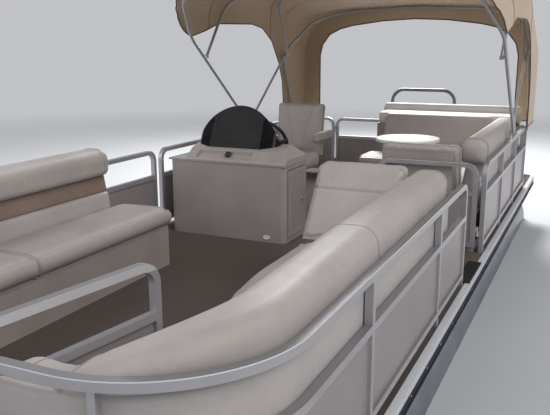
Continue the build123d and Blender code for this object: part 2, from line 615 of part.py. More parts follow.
# Helm
def console_plan(inset):
    """The console's plan, square behind and round at its two front corners, set in by a wall."""
    face = outline((CONSOLE_REAR_X + inset, CONSOLE_STARBOARD_Y + inset), (CONSOLE_FRONT_X - inset, CONSOLE_STARBOARD_Y + inset),
                   (CONSOLE_FRONT_X - inset, CONSOLE_PORT_Y - inset), (CONSOLE_REAR_X + inset, CONSOLE_PORT_Y - inset))
    front = [corner for corner in face.vertices() if corner.X > CONSOLE_FRONT_X - inset - 1]
    return fillet(front, CONSOLE_EDGE_R - inset)


def console_shell():
    """The moulded console: open underneath, hollow, with a door opening in its port side."""
    body = upright(console_plan(0), DECK_Z, over_deck(CONSOLE_H))
    body -= upright(console_plan(CONSOLE_WALL), DECK_Z - 1, over_deck(CONSOLE_H) - CONSOLE_WALL)
    g = DOOR_GAP
    return body - block((DOOR_AFT_X - g, DOOR_FORE_X + g), (CONSOLE_PORT_Y - 3 * CONSOLE_WALL, CONSOLE_PORT_Y + 5),
                        (over_deck(DOOR_H[0] - g), over_deck(DOOR_H[1] + g)))


DOOR_HINGE = (DOOR_FORE_X - 8, CONSOLE_PORT_Y + 8)


def console_door():
    """The locker door with its raised border and turn knob."""
    z = (over_deck(DOOR_H[0]), over_deck(DOOR_H[1]))
    leaf = block((DOOR_AFT_X, DOOR_FORE_X), (CONSOLE_PORT_Y - DOOR_T + 4, CONSOLE_PORT_Y + 4), z)
    leaf -= block((DOOR_AFT_X + 30, DOOR_FORE_X - 30), (CONSOLE_PORT_Y + 1, CONSOLE_PORT_Y + 5), (z[0] + 35, z[1] - 35))
    knob = bar((DOOR_AFT_X + 48, CONSOLE_PORT_Y, over_deck(290)), (DOOR_AFT_X + 48, CONSOLE_PORT_Y + 16, over_deck(290)), 13)
    hinge = bar((*DOOR_HINGE, z[0] + 40), (*DOOR_HINGE, z[1] - 40), 5)
    return leaf + knob + hinge


def console_dash():
    """The top moulding: a sloping foredeck with a tray, a seat for the screen and an instrument face."""
    lip = 6
    rear = CONSOLE_REAR_X - 20
    lid = block((rear, CONSOLE_FRONT_X + lip), (CONSOLE_STARBOARD_Y - lip, CONSOLE_PORT_Y + lip), (CONSOLE_H, CONSOLE_H + 14))
    side = outline((CONSOLE_FRONT_X - 8, CONSOLE_H), (CONSOLE_FRONT_X - 12, CONSOLE_H + 20), (SCREEN_FRONT_X, SCREEN_SIDE_H + 12),
                   (-330, DASH_TOP_H - 4), (-440, DASH_TOP_H + 12), (-462, DASH_TOP_H + 12), (rear, CONSOLE_H + 30),
                   (rear, CONSOLE_H))
    dash = across(side, DASH_STARBOARD_Y, CONSOLE_PORT_Y - 2)
    bevel = outline((CONSOLE_PORT_Y + 30, CONSOLE_H + 14), (CONSOLE_PORT_Y - 100, DASH_TOP_H + 20), (CONSOLE_PORT_Y + 30, DASH_TOP_H + 20))
    dash -= along(bevel, -900, 0)
    dash = Pos(0, 0, DECK_Z) * (dash + lid)
    tray = outline((-172, CONSOLE_H + 60), (-172, CONSOLE_H + 15), (-248, CONSOLE_H + 52), (-248, CONSOLE_H + 140))
    return dash - Pos(0, 0, DECK_Z) * across(tray, DASH_STARBOARD_Y + 80, CONSOLE_PORT_Y - 307)


def windscreen(dash):
    """The smoked screen: flat-fronted in plan with a wing at each side, raked, and arched across its top."""
    y0, y1 = SCREEN_Y
    middle = (y0 + y1) / 2
    turn = 120
    def plan(inset):
        points = [(SCREEN_WING_X, y0 - inset), (SCREEN_FRONT_X - 40, y0 - inset), (SCREEN_FRONT_X - inset, y0 - turn),
                  (SCREEN_FRONT_X - inset, y1 + turn), (SCREEN_FRONT_X - 40, y1 + inset), (SCREEN_WING_X, y1 + inset)]
        line = FilletPolyline(*points, radius=70)
        return make_face([*line.edges(), Line((SCREEN_WING_X, y1 + inset), (SCREEN_WING_X, y0 - inset))])
    low = SCREEN_SIDE_H - 40
    band = extrude(Plane.XY.offset(over_deck(low)) * plan(0), amount=520, dir=(-0.42, 0, 0.9))
    band -= extrude(Plane.XY.offset(over_deck(low) - 1) * plan(SCREEN_T), amount=540, dir=(-0.42, 0, 0.9))
    arch = make_face([Line((y0 + 5, low - 5), (y0 + 5, SCREEN_SIDE_H)),
                      Spline((y0 + 5, SCREEN_SIDE_H), (y0 - 75, 860), (middle, SCREEN_TOP_H), (y1 + 75, 860), (y1 - 5, SCREEN_SIDE_H)),
                      Line((y1 - 5, SCREEN_SIDE_H), (y1 - 5, low - 5)), Line((y1 - 5, low - 5), (y0 + 5, low - 5))])
    cut = (band & Pos(0, 0, DECK_Z) * along(arch, -900, 0)) - dash
    cut &= block((SCREEN_WING_X + 1, 0), (-2000, 0), (DECK_Z, over_deck(1500)))
    return max(cut.solids(), key=lambda solid: solid.volume)


def wheel_axis():
    """Direction from the driver down the steering shaft."""
    return Vector(cos(radians(WHEEL_RAKE)), 0, -sin(radians(WHEEL_RAKE)))


def steering_wheel():
    """A three-spoke wheel on a hub and a short shaft."""
    plane = Plane(origin=(WHEEL_X, WHEEL_Y, over_deck(WHEEL_H)), x_dir=(0, 1, 0), z_dir=wheel_axis())
    rim = revolve(Plane.XZ * (Pos(WHEEL_R, 0) * Circle(13)), axis=Axis.Z)
    hub = Pos(0, 0, 12) * Cylinder(38, 34)
    wheel = rim + hub
    for turn in (90, 210, 330):
        wheel += Rot(0, 0, turn) * block((20, WHEEL_R), (-11, 11), (-4, 6))
    return plane.location * wheel + bar(tuple(plane.origin), tuple(plane.origin + wheel_axis() * 62), 16)


def throttle_control():
    """The control box on the dash beside the wheel, with its lever on the inboard side."""
    x, y = THROTTLE_X, THROTTLE_Y
    top = DASH_TOP_H + 62
    base = block((x - 35, x + 35), (y - 30, y + 30), (over_deck(top - 110), over_deck(top)))
    boss = bar((x, y + 20, over_deck(top - 22)), (x, y + 52, over_deck(top - 22)), 20)
    lever = bar((x, y + 40, over_deck(top - 22)), (x + 25, y + 40, over_deck(top + 98)), 8)
    grip = bar((x + 25, y - 14, over_deck(top + 98)), (x + 25, y + 56, over_deck(top + 98)), 14)
    return base + boss + lever + grip


def chair_pedestal():
    """The floor flange and pillar under the helm chair."""
    flange = Pos(CHAIR_X, CHAIR_Y, DECK_Z + 7) * Cylinder(150, 14)
    post = bar((CHAIR_X, CHAIR_Y, DECK_Z), (CHAIR_X, CHAIR_Y, over_deck(CHAIR_SEAT_H - 45)), 42)
    cone = Pos(CHAIR_X, CHAIR_Y, DECK_Z + 44) * Cone(85, 42, 60)
    return flange + post + cone


def chair_seat():
    """The seat shell on its swivel plate."""
    low = over_deck(CHAIR_SEAT_H)
    plate = Pos(CHAIR_X, CHAIR_Y, low - 22) * Box(220, 220, 34)
    pad = block((CHAIR_X - 190, CHAIR_X + 250), (CHAIR_Y - 250, CHAIR_Y + 250), (low - 6, low + 120))
    pad = softened(pad, 40, lambda e: e.center().X > CHAIR_X - 180 and e.center().Z > low)
    return plate + pad


def chair_back():
    """The high bucket back, leaning aft."""
    low, top = CHAIR_SEAT_H + 60, CHAIR_TOP_H
    side = outline((CHAIR_X - 195, low), (CHAIR_X - 195, low + 80), (CHAIR_X - 255, top - 30), (CHAIR_X - 285, top),
                   (CHAIR_X - 330, top - 10), (CHAIR_X - 350, top - 60), (CHAIR_X - 300, low))
    slab = Pos(0, 0, DECK_Z) * across(side, CHAIR_Y - 250, CHAIR_Y + 250)
    front = arched((CHAIR_Y - 232, CHAIR_Y + 232), (low - 5, top + 5), 95, 95)
    return slab & Pos(0, 0, DECK_Z) * along(front, CHAIR_X - 400, CHAIR_X)


def chair_arms():
    """The two arm pads with their pivot bosses on the back's edges."""
    arms = []
    for side in (-1, 1):
        y = CHAIR_Y + side * 266
        pad = block((CHAIR_X - 300, CHAIR_X + 60), (y - 26, y + 26), (over_deck(645), over_deck(725)))
        pad = softened(pad, 20, lambda e: e.center().X > CHAIR_X + 59 or e.length > 300)
        boss = bar((CHAIR_X - 262, CHAIR_Y + side * 225, over_deck(685)), (CHAIR_X - 262, y, over_deck(685)), 24)
        arms.append(pad + (boss - block((CHAIR_X - 400, CHAIR_X), (CHAIR_Y - 232, CHAIR_Y + 232), (DECK_Z, over_deck(900)))))
    return arms


# Outboard motor
def tilted(shape):
    """Turns what was drawn upright to its parked tilt about the tilt tube."""
    return Pos(TILT_X, 0, TILT_Z) * Rot(0, TILT_REST, 0) * Pos(-TILT_X, 0, -TILT_Z) * shape


def clamp_bracket():
    """The pair of clamp arms that hook over the transom."""
    side = outline((TRANSOM_X, TRANSOM_TOP_Z), (TRANSOM_X + 60, TRANSOM_TOP_Z), (TRANSOM_X + 60, TRANSOM_TOP_Z + 32),
                   (TILT_X - 20, TILT_Z + 28), (TILT_X - 26, TILT_Z - 20), (TRANSOM_X - 24, 420), (TRANSOM_X + 31.5, 420))
    cheeks = across(side, 78, 98) + across(side, -98, -78)
    return cheeks + bar((TILT_X, -112, TILT_Z), (TILT_X, 112, TILT_Z), 14)


def swivel_bracket():
    """The block between the clamp arms that tilts, with the steering tube at its back."""
    arm = outline((TILT_X + 34, TILT_Z + 30), (STEER_X + 10, TILT_Z + 30), (STEER_X + 10, TILT_Z - 330), (TILT_X - 40, TILT_Z - 330),
                  (TILT_X + 30, TILT_Z - 40))
    body = across(arm, -66, 66)
    body += Pos(STEER_X, 0, TILT_Z - 150) * Cylinder(38, 360)
    body -= bar((TILT_X, -100, TILT_Z), (TILT_X, 100, TILT_Z), 14.2)
    return tilted(body)


def motor_leg():
    """The exhaust housing, cavitation plate, gearcase and skeg, with the steering yokes in front."""
    z = TILT_Z
    def section(width, fore, aft, height):
        return Pos(0, 0, height) * Plane.XY * (Pos((fore + aft) / 2, 0) * Ellipse((fore - aft) / 2, width / 2))
    fore = STEER_X - 62
    housing = loft([section(170, fore + 8, fore - 286, z + 42), section(120, fore, fore - 220, z - 300),
                    section(90, fore - 5, fore - 200, z - 500)])
    strut = loft([section(90, fore - 5, fore - 200, z - 500), section(56, fore - 20, fore - 190, z - 650)])
    plate = upright(Pos(fore - 150, 0) * RectangleRounded(330, 190, 60), z - 512, z - 500)
    gear_z = z - 680
    torpedo = bar((fore + 40, 0, gear_z), (fore - 245, 0, gear_z), 48) + Pos(fore + 40, 0, gear_z) * Sphere(48)
    skeg = across(outline((fore, gear_z), (fore - 175, gear_z), (fore - 190, gear_z - 135), (fore - 120, gear_z - 140)), -7, 7)
    yokes = block((STEER_X + 30, fore - 60), (-52, 52), (z + 36, z + 62)) + block((STEER_X + 30, fore - 60), (-45, 45), (z - 372, z - 336))
    pan = upright(Pos(fore - 138, 0) * RectangleRounded(480, 250, 90), z + 36, z + 64)
    return tilted(housing + strut + plate + torpedo + skeg + yokes + pan)


def motor_cowl():
    """The engine under its cowl, drawn as one body."""
    z = TILT_Z + 65
    middle = STEER_X - COWL_BEHIND_STEER
    def section(length, width, shift, height):
        return Pos(0, 0, height) * (Pos(middle + shift, 0) * RectangleRounded(length, width, min(length, width) * 0.36))
    return tilted(loft([section(520, 300, 0, z), section(560, 350, 0, z + 130), section(540, 340, -6, z + 290), section(400, 250, -30, z + 400)]))


def prop_axis():
    """Direction of the propeller shaft, pointing aft, at the parked tilt."""
    return Vector(-cos(radians(TILT_REST)), 0, sin(radians(TILT_REST)))


PROP_UPRIGHT = (STEER_X - 62 - 245, 0, TILT_Z - 680)


def propeller():
    """Three raked blades on a barrel hub."""
    x, _, z = PROP_UPRIGHT
    hub = bar((x - 4, 0, z), (x - 92, 0, z), 40) + Pos(x - 92, 0, z) * Sphere(24)
    wheel = hub
    for turn in (0, 120, 240):
        blade = extrude(Plane.YZ * (Pos(0, PROP_R / 2 + 13) * Ellipse(58, PROP_R / 2 - 13)), amount=4, both=True)
        wheel += Pos(x - 46, 0, z) * Rot(turn, 0, 0) * Rot(0, 0, 30) * blade
    return tilted(wheel)


# Bimini top and stern hoop
def bow_line(bow, half_width, low, rise=1.0, base=0.0, grow=0.0):
    """The U-shaped line of a bow as (Y, distance up its own plane), from port foot to starboard foot."""
    heights, radii = BOW_SHAPES[bow]
    bend, corner, shoulder, crown = [(height + grow - base) / rise for height in heights]
    port = [(half_width + grow, low), (half_width + grow, bend), (BOW_CORNER_Y + grow, corner), (BIMINI_SHOULDER_Y, shoulder)]
    points = [*port, (0, crown), *[(-y, up) for y, up in reversed(port)]]
    return FilletPolyline(*points, radius=[*radii, 2000, *reversed(radii)])


def bow_tube(bow, foot, angle, heading, half_width, feet):
    """A U-shaped bow in a plane through its feet; heading is +1 towards the bow of the boat."""
    rise = sin(radians(angle))
    lean = Vector(heading * cos(radians(angle)), 0, rise)
    plane = Plane(origin=(foot[0], 0, foot[1]), x_dir=(0, 1, 0), z_dir=Vector(0, 1, 0).cross(lean))
    path = plane * bow_line(bow, half_width, feet, rise, foot[1] - DECK_Z)
    start = Plane(origin=path @ 0, z_dir=path % 0)
    return sweep(start * Circle(BOW_TUBE_R), path=path)


PIVOT = (BIMINI_X, over_deck(BIMINI_PIVOT_H))


def on_leg(distance, angle, heading):
    """A point on a main bow's leg, as (x, z)."""
    return (PIVOT[0] + heading * distance * cos(radians(angle)), PIVOT[1] + distance * sin(radians(angle)))


SECOND_HINGE = on_leg(SECOND_BOW_AT, FRONT_BOW_ANGLE, 1)
THIRD_HINGE = on_leg(THIRD_BOW_AT, REAR_BOW_ANGLE, -1)


def main_bow(bow, angle, heading, half_width, eye_y):
    """A main bow with a flattened eye at each foot that turns on the mount's pin."""
    tube = bow_tube(bow, PIVOT, angle, heading, half_width, 30)
    for side in (-1, 1):
        y = side * eye_y
        lean = degrees(atan2(sin(radians(angle)), heading * cos(radians(angle))))
        tube += bar((PIVOT[0], y - 5, PIVOT[1]), (PIVOT[0], y + 5, PIVOT[1]), 14)
        tube += Pos(PIVOT[0], y, PIVOT[1]) * Rot(0, -lean, 0) * Pos(30, 0, 0) * Box(50, 10, 22)
    return tube - bar((PIVOT[0], -FENCE_Y - 40, PIVOT[1]), (PIVOT[0], FENCE_Y + 40, PIVOT[1]), PIVOT_PIN_R + PIN_CLEAR)


def side_bow(bow, hinge, angle, heading, main_y):
    """A secondary bow, inside its main bow, with a pin at each foot that meets the main tube."""
    inner = main_y - BOW_SPACING_Y - 1
    tube = bow_tube(bow, hinge, angle, heading, inner, 0)
    for side in (-1, 1):
        tube += bar((hinge[0], side * (inner - 16), hinge[1]), (hinge[0], side * (main_y - BOW_TUBE_R - 0.4), hinge[1]), 8)
        tube += bar((hinge[0], side * (inner - 14), hinge[1]), (hinge[0], side * (inner + 12), hinge[1]), 15)
    return tube


def bimini_mounts():
    """A mount on each top rail, with the pin that both main bows turn on."""
    mounts = []
    for side in (-1, 1):
        z = over_deck(RAIL_TOP_H)
        foot = block((PIVOT[0] - 45, PIVOT[0] + 45), (side * (FENCE_Y - 16), side * (FENCE_Y + 16)), (z, z + 8))
        cheek = block((PIVOT[0] - 16, PIVOT[0] + 16), (side * (FENCE_Y + 7), side * (FENCE_Y + 15)), (z + 4, PIVOT[1]))
        cheek += bar((PIVOT[0], side * (FENCE_Y + 7), PIVOT[1]), (PIVOT[0], side * (FENCE_Y + 15), PIVOT[1]), 16)
        pin = bar((PIVOT[0], side * (FENCE_Y - 10), PIVOT[1]), (PIVOT[0], side * (FENCE_Y + 32), PIVOT[1]), PIVOT_PIN_R)
        mounts.append(foot + cheek + pin)
    return mounts


def rear_braces():
    """The struts that hold the rear bow up from the stern part of the top rails."""
    braces = []
    low_x, low_z = REAR_X + 150, over_deck(RAIL_TOP_H - 18)
    for side in (-1, 1):
        y = side * (FENCE_Y + 27)
        strut = bar((low_x, y, low_z), (THIRD_HINGE[0], y, THIRD_HINGE[1]), 10)
        strut += bar((THIRD_HINGE[0], y, THIRD_HINGE[1]), (THIRD_HINGE[0], side * (FENCE_Y + BOW_TUBE_R), THIRD_HINGE[1]), 8)
        strut += block((low_x - 18, low_x + 18), (side * (FENCE_Y + RAIL / 2), side * (FENCE_Y + 38)), (low_z - 14, low_z + 14))
        braces.append(strut)
    return braces


def bow_top(bow, foot, angle, heading):
    """X of a bow's crown, from its crown height and its lean."""
    crown = BOW_SHAPES[bow][0][3]
    return foot[0] + heading * (over_deck(crown) - foot[1]) / tan(radians(angle))


def bimini_canopy():
    """The canvas: a crowned top, side skirts with arched hems, a rear valance and two aft corner curtains."""
    half = FRONT_BOW_Y + BOW_TUBE_R + CANVAS_CLEAR
    lift = BOW_TUBE_R + CANVAS_CLEAR + 2
    low = CURTAIN_LOW_H
    stations = [("front", bow_top("front", PIVOT, FRONT_BOW_ANGLE, 1) + 20),
                ("second", bow_top("second", SECOND_HINGE, SECOND_BOW_ANGLE, -1)),
                ("third", bow_top("third", THIRD_HINGE, THIRD_BOW_ANGLE, 1)),
                ("rear", bow_top("rear", PIVOT, REAR_BOW_ANGLE, -1) - 20)]

    def shell(grow, fore_by, aft_by):
        """The solid under the canvas, lofted from bow to bow."""
        faces = []
        for i, (bow, x) in enumerate(stations):
            x += fore_by * (i == 0) + aft_by * (i == len(stations) - 1)
            plane = Plane(origin=(x, 0, DECK_Z), x_dir=(0, 1, 0), z_dir=(1, 0, 0))
            line = bow_line(bow, half - lift, low, grow=lift + grow)
            start, end = (half + grow, low), (-half - grow, low)
            faces.append(plane * make_face([*line.edges(), Line(end, start)]))
        return loft(faces, ruled=True)

    canvas = shell(CANVAS_T, 0, 0) - shell(0, 10, CANVAS_T)
    x = PIVOT[0]
    leg = [(PIVOT[0] + (h - BIMINI_PIVOT_H) / tan(radians(FRONT_BOW_ANGLE)) + 30, h) for h in (1560, 2100)]
    side_cut = make_face([
        Line((x + 2000, low - 20), (x + 2000, 2100)), Line((x + 2000, 2100), (leg[1][0], 2100)),
        Line((leg[1][0], 2100), leg[0]), Line(leg[0], (x + 990, 1510)),
        ThreePointArc((x + 990, 1510), (x + 750, 1565), (x + 510, 1630)),
        Line((x + 510, 1630), (x - 160, 1645)),
        ThreePointArc((x - 160, 1645), (x - 620, 1500), (x - 880, 1050)),
        Line((x - 880, 1050), (x - 920, low - 20)),
        Line((x - 920, low - 20), (x + 2000, low - 20)),
    ])
    canvas -= Pos(0, 0, DECK_Z) * across(side_cut, -half - 60, half + 60)
    foot_y, bend_y, crown_y = FENCE_Y - 145, FENCE_Y - 260, FENCE_Y - 535
    rear_cut = make_face([
        Line((-foot_y, low - 20), (-foot_y, 1330)),
        ThreePointArc((-foot_y, 1330), (-bend_y, 1560), (-crown_y, 1655)),
        ThreePointArc((-crown_y, 1655), (0, 1716), (crown_y, 1655)),
        ThreePointArc((crown_y, 1655), (bend_y, 1560), (foot_y, 1330)),
        Line((foot_y, 1330), (foot_y, low - 20)),
        Line((foot_y, low - 20), (-foot_y, low - 20)),
    ])
    rear = stations[-1][1]
    return canvas - Pos(0, 0, DECK_Z) * along(rear_cut, rear - 60, rear + 40)


def stern_hoop():
    """The tow hoop that stands on the aft deck around the motor, with a brace to each leg."""
    points = [(HOOP_HALF + 40, 0), (HOOP_HALF, HOOP_TOP_H - HOOP_R), (-HOOP_HALF, HOOP_TOP_H - HOOP_R), (-HOOP_HALF - 40, 0)]
    plane = Plane(origin=(HOOP_X, 0, DECK_Z), x_dir=(0, 1, 0), z_dir=(1, 0, 0))
    path = plane * FilletPolyline(*points, radius=140)
    hoop = sweep(Plane(origin=path @ 0, z_dir=path % 0) * Circle(HOOP_R), path=path)
    for side in (-1, 1):
        y = side * (HOOP_HALF + 20)
        hoop += bar((HOOP_X, side * (HOOP_HALF + 22), over_deck(430)), (HOOP_X + 225, y + side * 40, DECK_Z), 14)
        for x, foot_y in ((HOOP_X, side * (HOOP_HALF + 40)), (HOOP_X + 225, y + side * 40)):
            hoop += Pos(x, foot_y, DECK_Z + 5) * Cylinder(38, 10)
    return hoop & block((HOOP_X - 500, HOOP_X + 500), (-DECK_WIDTH / 2, DECK_WIDTH / 2), (DECK_Z, DECK_Z + 2 * HOOP_TOP_H))


# The whole boat
def build():
    """Every node by name, still placed from the middle of the deck."""
    frames, panels = fences()
    bow_frame, bow_panel = gate(BOW_GATE_HINGE, -90, 2 * BOW_GATE_HALF - 2 * GATE_GAP, BOW_GATE_REST, BOW_GATE_LIFT)
    side_frame, side_panel = gate(SIDE_GATE_HINGE, 0, SIDE_GATE_FORE_X - SIDE_GATE_AFT_X - 2 * GATE_GAP, SIDE_GATE_REST)
    stern_frame, stern_panel = gate(STERN_GATE_HINGE, 90, STERN_GATE_Y[1] - STERN_GATE_Y[0] - 2 * GATE_GAP, 0)
    base, seats, backs, bolsters, forward_back = stern_lounge()
    dash = console_dash()
    return {
        "pontoon_port": pontoon(TUBE_Y),
        "pontoon_starboard": pontoon(-TUBE_Y),
        "deck_risers": deck_risers(),
        "cross_channels": cross_channels(),
        "deck_boards": deck_boards(),
        "deck_edge_trim": deck_edge_trim(),
        "motor_pod": motor_pod(),
        "mooring_cleats": mooring_cleats(),
        "fence_frame_port": frames["port"],
        "fence_frame_starboard": frames["starboard"],
        "fence_panels_port": panels["port"],
        "fence_panels_starboard": panels["starboard"],
        "bow_gate_frame": bow_frame,
        "bow_gate_panel": bow_panel,
        "side_gate_frame": side_frame,
        "side_gate_panel": side_panel,
        "stern_gate_frame": stern_frame,
        "stern_gate_panel": stern_panel,
        "port_bow_lounge_base": lounge_base(CHAISE_AFT_X) + chaise_support(),
        "port_bow_seats": seat_pads(PORT_SEAT_AFT_X, SEAT_SPLIT_X),
        "port_bow_back_pad": wrapped(back_profile(), PORT_BACK_AFT_X, BOW_LOUNGE_END_Y + 40),
        "port_bow_back_stripe": wrapped(stripe_profile(), PORT_BACK_AFT_X, BOW_LOUNGE_END_Y + 40),
        "port_bow_bolster": bow_bolster(PORT_BACK_AFT_X),
        "port_bow_chaise_back": chaise_back(),
        "starboard_bow_lounge_base": mirrored(lounge_base(STARBOARD_LOUNGE_AFT_X)),
        "starboard_bow_seats": [mirrored(pad) for pad in seat_pads(STARBOARD_LOUNGE_AFT_X, SEAT_SPLIT_X)],
        "starboard_bow_back_pad": mirrored(wrapped(back_profile(), STARBOARD_BACK_AFT_X, BOW_LOUNGE_END_Y + 40)),
        "starboard_bow_back_stripe": mirrored(wrapped(stripe_profile(), STARBOARD_BACK_AFT_X, BOW_LOUNGE_END_Y + 40)),
        "starboard_bow_bolster": mirrored(bow_bolster(STARBOARD_BACK_AFT_X)),
        "stern_lounge_base": base,
        "stern_lounge_seats": seats,
        "stern_lounge_back_pads": backs,
        "stern_lounge_bolsters": bolsters,
        "stern_lounge_forward_back": forward_back,
        "table_top": table_top(),
        "table_post": table_post(),
        "console_shell": console_shell(),
        "console_dash": dash,
        "console_door": console_door(),
        "windscreen": windscreen(dash),
        "steering_wheel": steering_wheel(),
        "throttle_control": throttle_control() - dash,
        "chair_pedestal": chair_pedestal(),
        "chair_seat": chair_seat(),
        "chair_back": chair_back(),
        "chair_arms": chair_arms(),
        "motor_clamp_bracket": clamp_bracket(),
        "motor_swivel_bracket": swivel_bracket(),
        "motor_leg": motor_leg(),
        "motor_cowl": motor_cowl(),
        "motor_propeller": propeller(),
        "bimini_mounts": bimini_mounts(),
        "bimini_bow_front": main_bow("front", FRONT_BOW_ANGLE, 1, FRONT_BOW_Y, FENCE_Y + 22),
        "bimini_bow_second": side_bow("second", SECOND_HINGE, SECOND_BOW_ANGLE, -1, FRONT_BOW_Y),
        "bimini_bow_third": side_bow("third", THIRD_HINGE, THIRD_BOW_ANGLE, 1, REAR_BOW_Y),
        "bimini_bow_rear": main_bow("rear", REAR_BOW_ANGLE, -1, REAR_BOW_Y, FENCE_Y),
        "bimini_rear_braces": rear_braces(),
        "bimini_canopy": bimini_canopy(),
        "stern_hoop": stern_hoop(),
    }


def solids_of(shape):
    """The separate solids of a node."""
    shapes = shape if isinstance(shape, (list, tuple)) else [shape]
    return [solid for item in shapes for solid in item.solids()]


NODES = {name: solids_of(shape) for name, shape in build().items()}
LOW_X = min(solid.bounding_box().min.X for solids in NODES.values() for solid in solids)
HIGH_X = max(solid.bounding_box().max.X for solids in NODES.values() for solid in solids)
ORIGIN_SHIFT = -(LOW_X + HIGH_X) / 2

os.makedirs("parts", exist_ok=True)
for name, solids in NODES.items():
    moved = [Pos(ORIGIN_SHIFT, 0, 0) * solid for solid in solids]
    export_step(Compound(label=name, children=moved) if len(moved) > 1 else moved[0], f"parts/{name}.step")
print("origin shift", round(ORIGIN_SHIFT, 3), "length", round(HIGH_X - LOW_X, 1))
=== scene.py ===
# %% [markdown]
# # A pontoon boat, dressed over its solid model
#
# The frame is the boat as it was built from solids, with every rail, post and panel in place. This lesson
# gives each part its finish and then builds what is soft: the seats, their bolsters and the canvas top. All
# lengths are metres, +X is the bow, +Y is port and +Z is up.

import bmesh
import bpy
import numpy as np
from mathutils import Matrix, Vector


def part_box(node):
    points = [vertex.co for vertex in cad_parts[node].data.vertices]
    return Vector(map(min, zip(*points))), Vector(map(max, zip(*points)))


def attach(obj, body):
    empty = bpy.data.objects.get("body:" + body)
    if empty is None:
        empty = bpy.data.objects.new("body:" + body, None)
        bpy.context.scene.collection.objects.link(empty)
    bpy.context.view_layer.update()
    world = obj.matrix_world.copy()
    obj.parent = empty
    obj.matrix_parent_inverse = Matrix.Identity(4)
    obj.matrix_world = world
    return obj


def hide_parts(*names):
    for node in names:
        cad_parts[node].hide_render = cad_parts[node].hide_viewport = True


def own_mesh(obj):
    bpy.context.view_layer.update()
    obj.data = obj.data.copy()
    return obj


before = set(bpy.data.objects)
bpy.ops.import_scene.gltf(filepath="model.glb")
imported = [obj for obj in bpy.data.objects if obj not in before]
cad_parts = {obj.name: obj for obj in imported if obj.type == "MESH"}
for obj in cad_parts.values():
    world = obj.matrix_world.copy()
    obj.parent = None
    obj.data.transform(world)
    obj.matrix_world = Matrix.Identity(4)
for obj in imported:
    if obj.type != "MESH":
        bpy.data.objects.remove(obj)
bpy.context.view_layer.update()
print("frame nodes:", len(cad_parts))

# %% [markdown]
# ## Where the deck is
#
# All fittings stand on the deck, so places are measured from its middle, on top of the carpet. The box of
# the deck boards says where that is.

# %% Deck coordinates
deck_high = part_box("deck_boards")[1]
BOARDS_FRONT = 3.538  # the boards' front edge, ahead of the deck's middle
DECK_X = deck_high[0] - BOARDS_FRONT
DECK_Z = deck_high[2]
FENCE_Y = 1.235  # outer line of the side fences
FRONT_X = 3.200  # outer line of the bow fence
CORNER_R = 0.500  # radius of the fence's bow corners
RAIL_TOP = 0.644  # top rail over the deck
WATERLINE = 0.300  # over the keels, which are at Z = 0


def on_deck(points):
    """Adds the deck's middle and height to points that are measured from them."""
    return np.asarray(points, float) + np.array([DECK_X, 0.0, DECK_Z])


print("deck middle", round(DECK_X, 4), "deck height", round(DECK_Z, 4))

# %% [markdown]
# ## Shader maths that reads like maths
#
# A node graph is easy to draw and hard to read. Wrapping a socket in a small class lets an expression such
# as `1 - mask * 0.3` add its own Math nodes, and one method covers every other node.


# %% A socket that does arithmetic
def feed(socket, value):
    """Links a value that varies to an input, or sets one that doesn't."""
    if isinstance(value, Shade):
        value.tree.links.new(value.socket, socket)
    else:
        socket.default_value = value


class Shade:
    """One output socket of a material; + - and * with it add Math nodes."""

    def __init__(self, tree, socket):
        self.tree = tree
        self.socket = socket

    def node(self, kind, settings=None, *values, out=0, **named):
        """Adds a node: settings first, then its inputs by position or by name."""
        made = self.tree.nodes.new(kind)
        for key, value in (settings or {}).items():
            setattr(made, key, value)
        for place, value in [*enumerate(values), *named.items()]:
            feed(made.inputs[place], value)
        return Shade(self.tree, made.outputs[out])

    def math(self, operation, *values):
        return self.node("ShaderNodeMath", {"operation": operation}, *values)

    def __add__(self, other):
        return self.math("ADD", self, other)

    def __sub__(self, other):
        return self.math("SUBTRACT", self, other)

    def __rsub__(self, other):
        return self.math("SUBTRACT", other, self)

    def __mul__(self, other):
        return self.math("MULTIPLY", self, other)

    __radd__ = __add__
    __rmul__ = __mul__

    def between(self, low, high):
        """0 at low, 1 at high, held outside."""
        return self.node("ShaderNodeMapRange", {"clamp": True}, self, low, high, 0.0, 1.0)

    def axis(self, index):
        """One component of a vector."""
        return self.node("ShaderNodeSeparateXYZ", None, self, out=index)


def srgb(red, green, blue):
    """A screen colour, 0 to 255, as the linear colour that a shader wants."""
    scaled = np.array([red, green, blue]) / 255.0
    linear = np.where(scaled <= 0.04045, scaled / 12.92, ((scaled + 0.055) / 1.055) ** 2.4)
    return tuple(float(c) for c in linear)


# %% [markdown]
# ## One way to make every material
#
# Real finishes differ in few ways: two or three close colours that blend in patches, a fine surface, and a
# coarser unevenness. The helpers below give those, and each finish adds what is its own. What varies goes
# only to colour, roughness and the normal, because those can be baked.


# %% The material helper
def material(name, constants):
    """A new material, its shader with the constants set, and the object's own coordinates."""
    made = bpy.data.materials.new(name)
    made.use_nodes = True
    tree = made.node_tree
    shader = tree.nodes["Principled BSDF"]
    for key, value in constants.items():
        shader.inputs[key].default_value = value
    place = Shade(tree, tree.nodes.new("ShaderNodeTexCoord").outputs["Object"])
    print("material", name)
    return made, shader, place


def plug(shader, key, value):
    """Lets a value drive one of the shader's inputs."""
    feed(shader.inputs[key], value)


def noise(place, scale, detail=3.0, stretch=(1.0, 1.0, 1.0)):
    """Smooth noise, 0 to 1, with its pattern stretched along the axes."""
    if stretch != (1.0, 1.0, 1.0):
        place = place.node("ShaderNodeMapping", None, place, (0, 0, 0), (0, 0, 0), stretch)
    return place.node("ShaderNodeTexNoise", None, Vector=place, Scale=scale, Detail=detail)


def cells(place, scale):
    """Distance to the nearest of scattered points, the start of grain and pebbling."""
    return place.node("ShaderNodeTexVoronoi", None, Vector=place, Scale=scale)


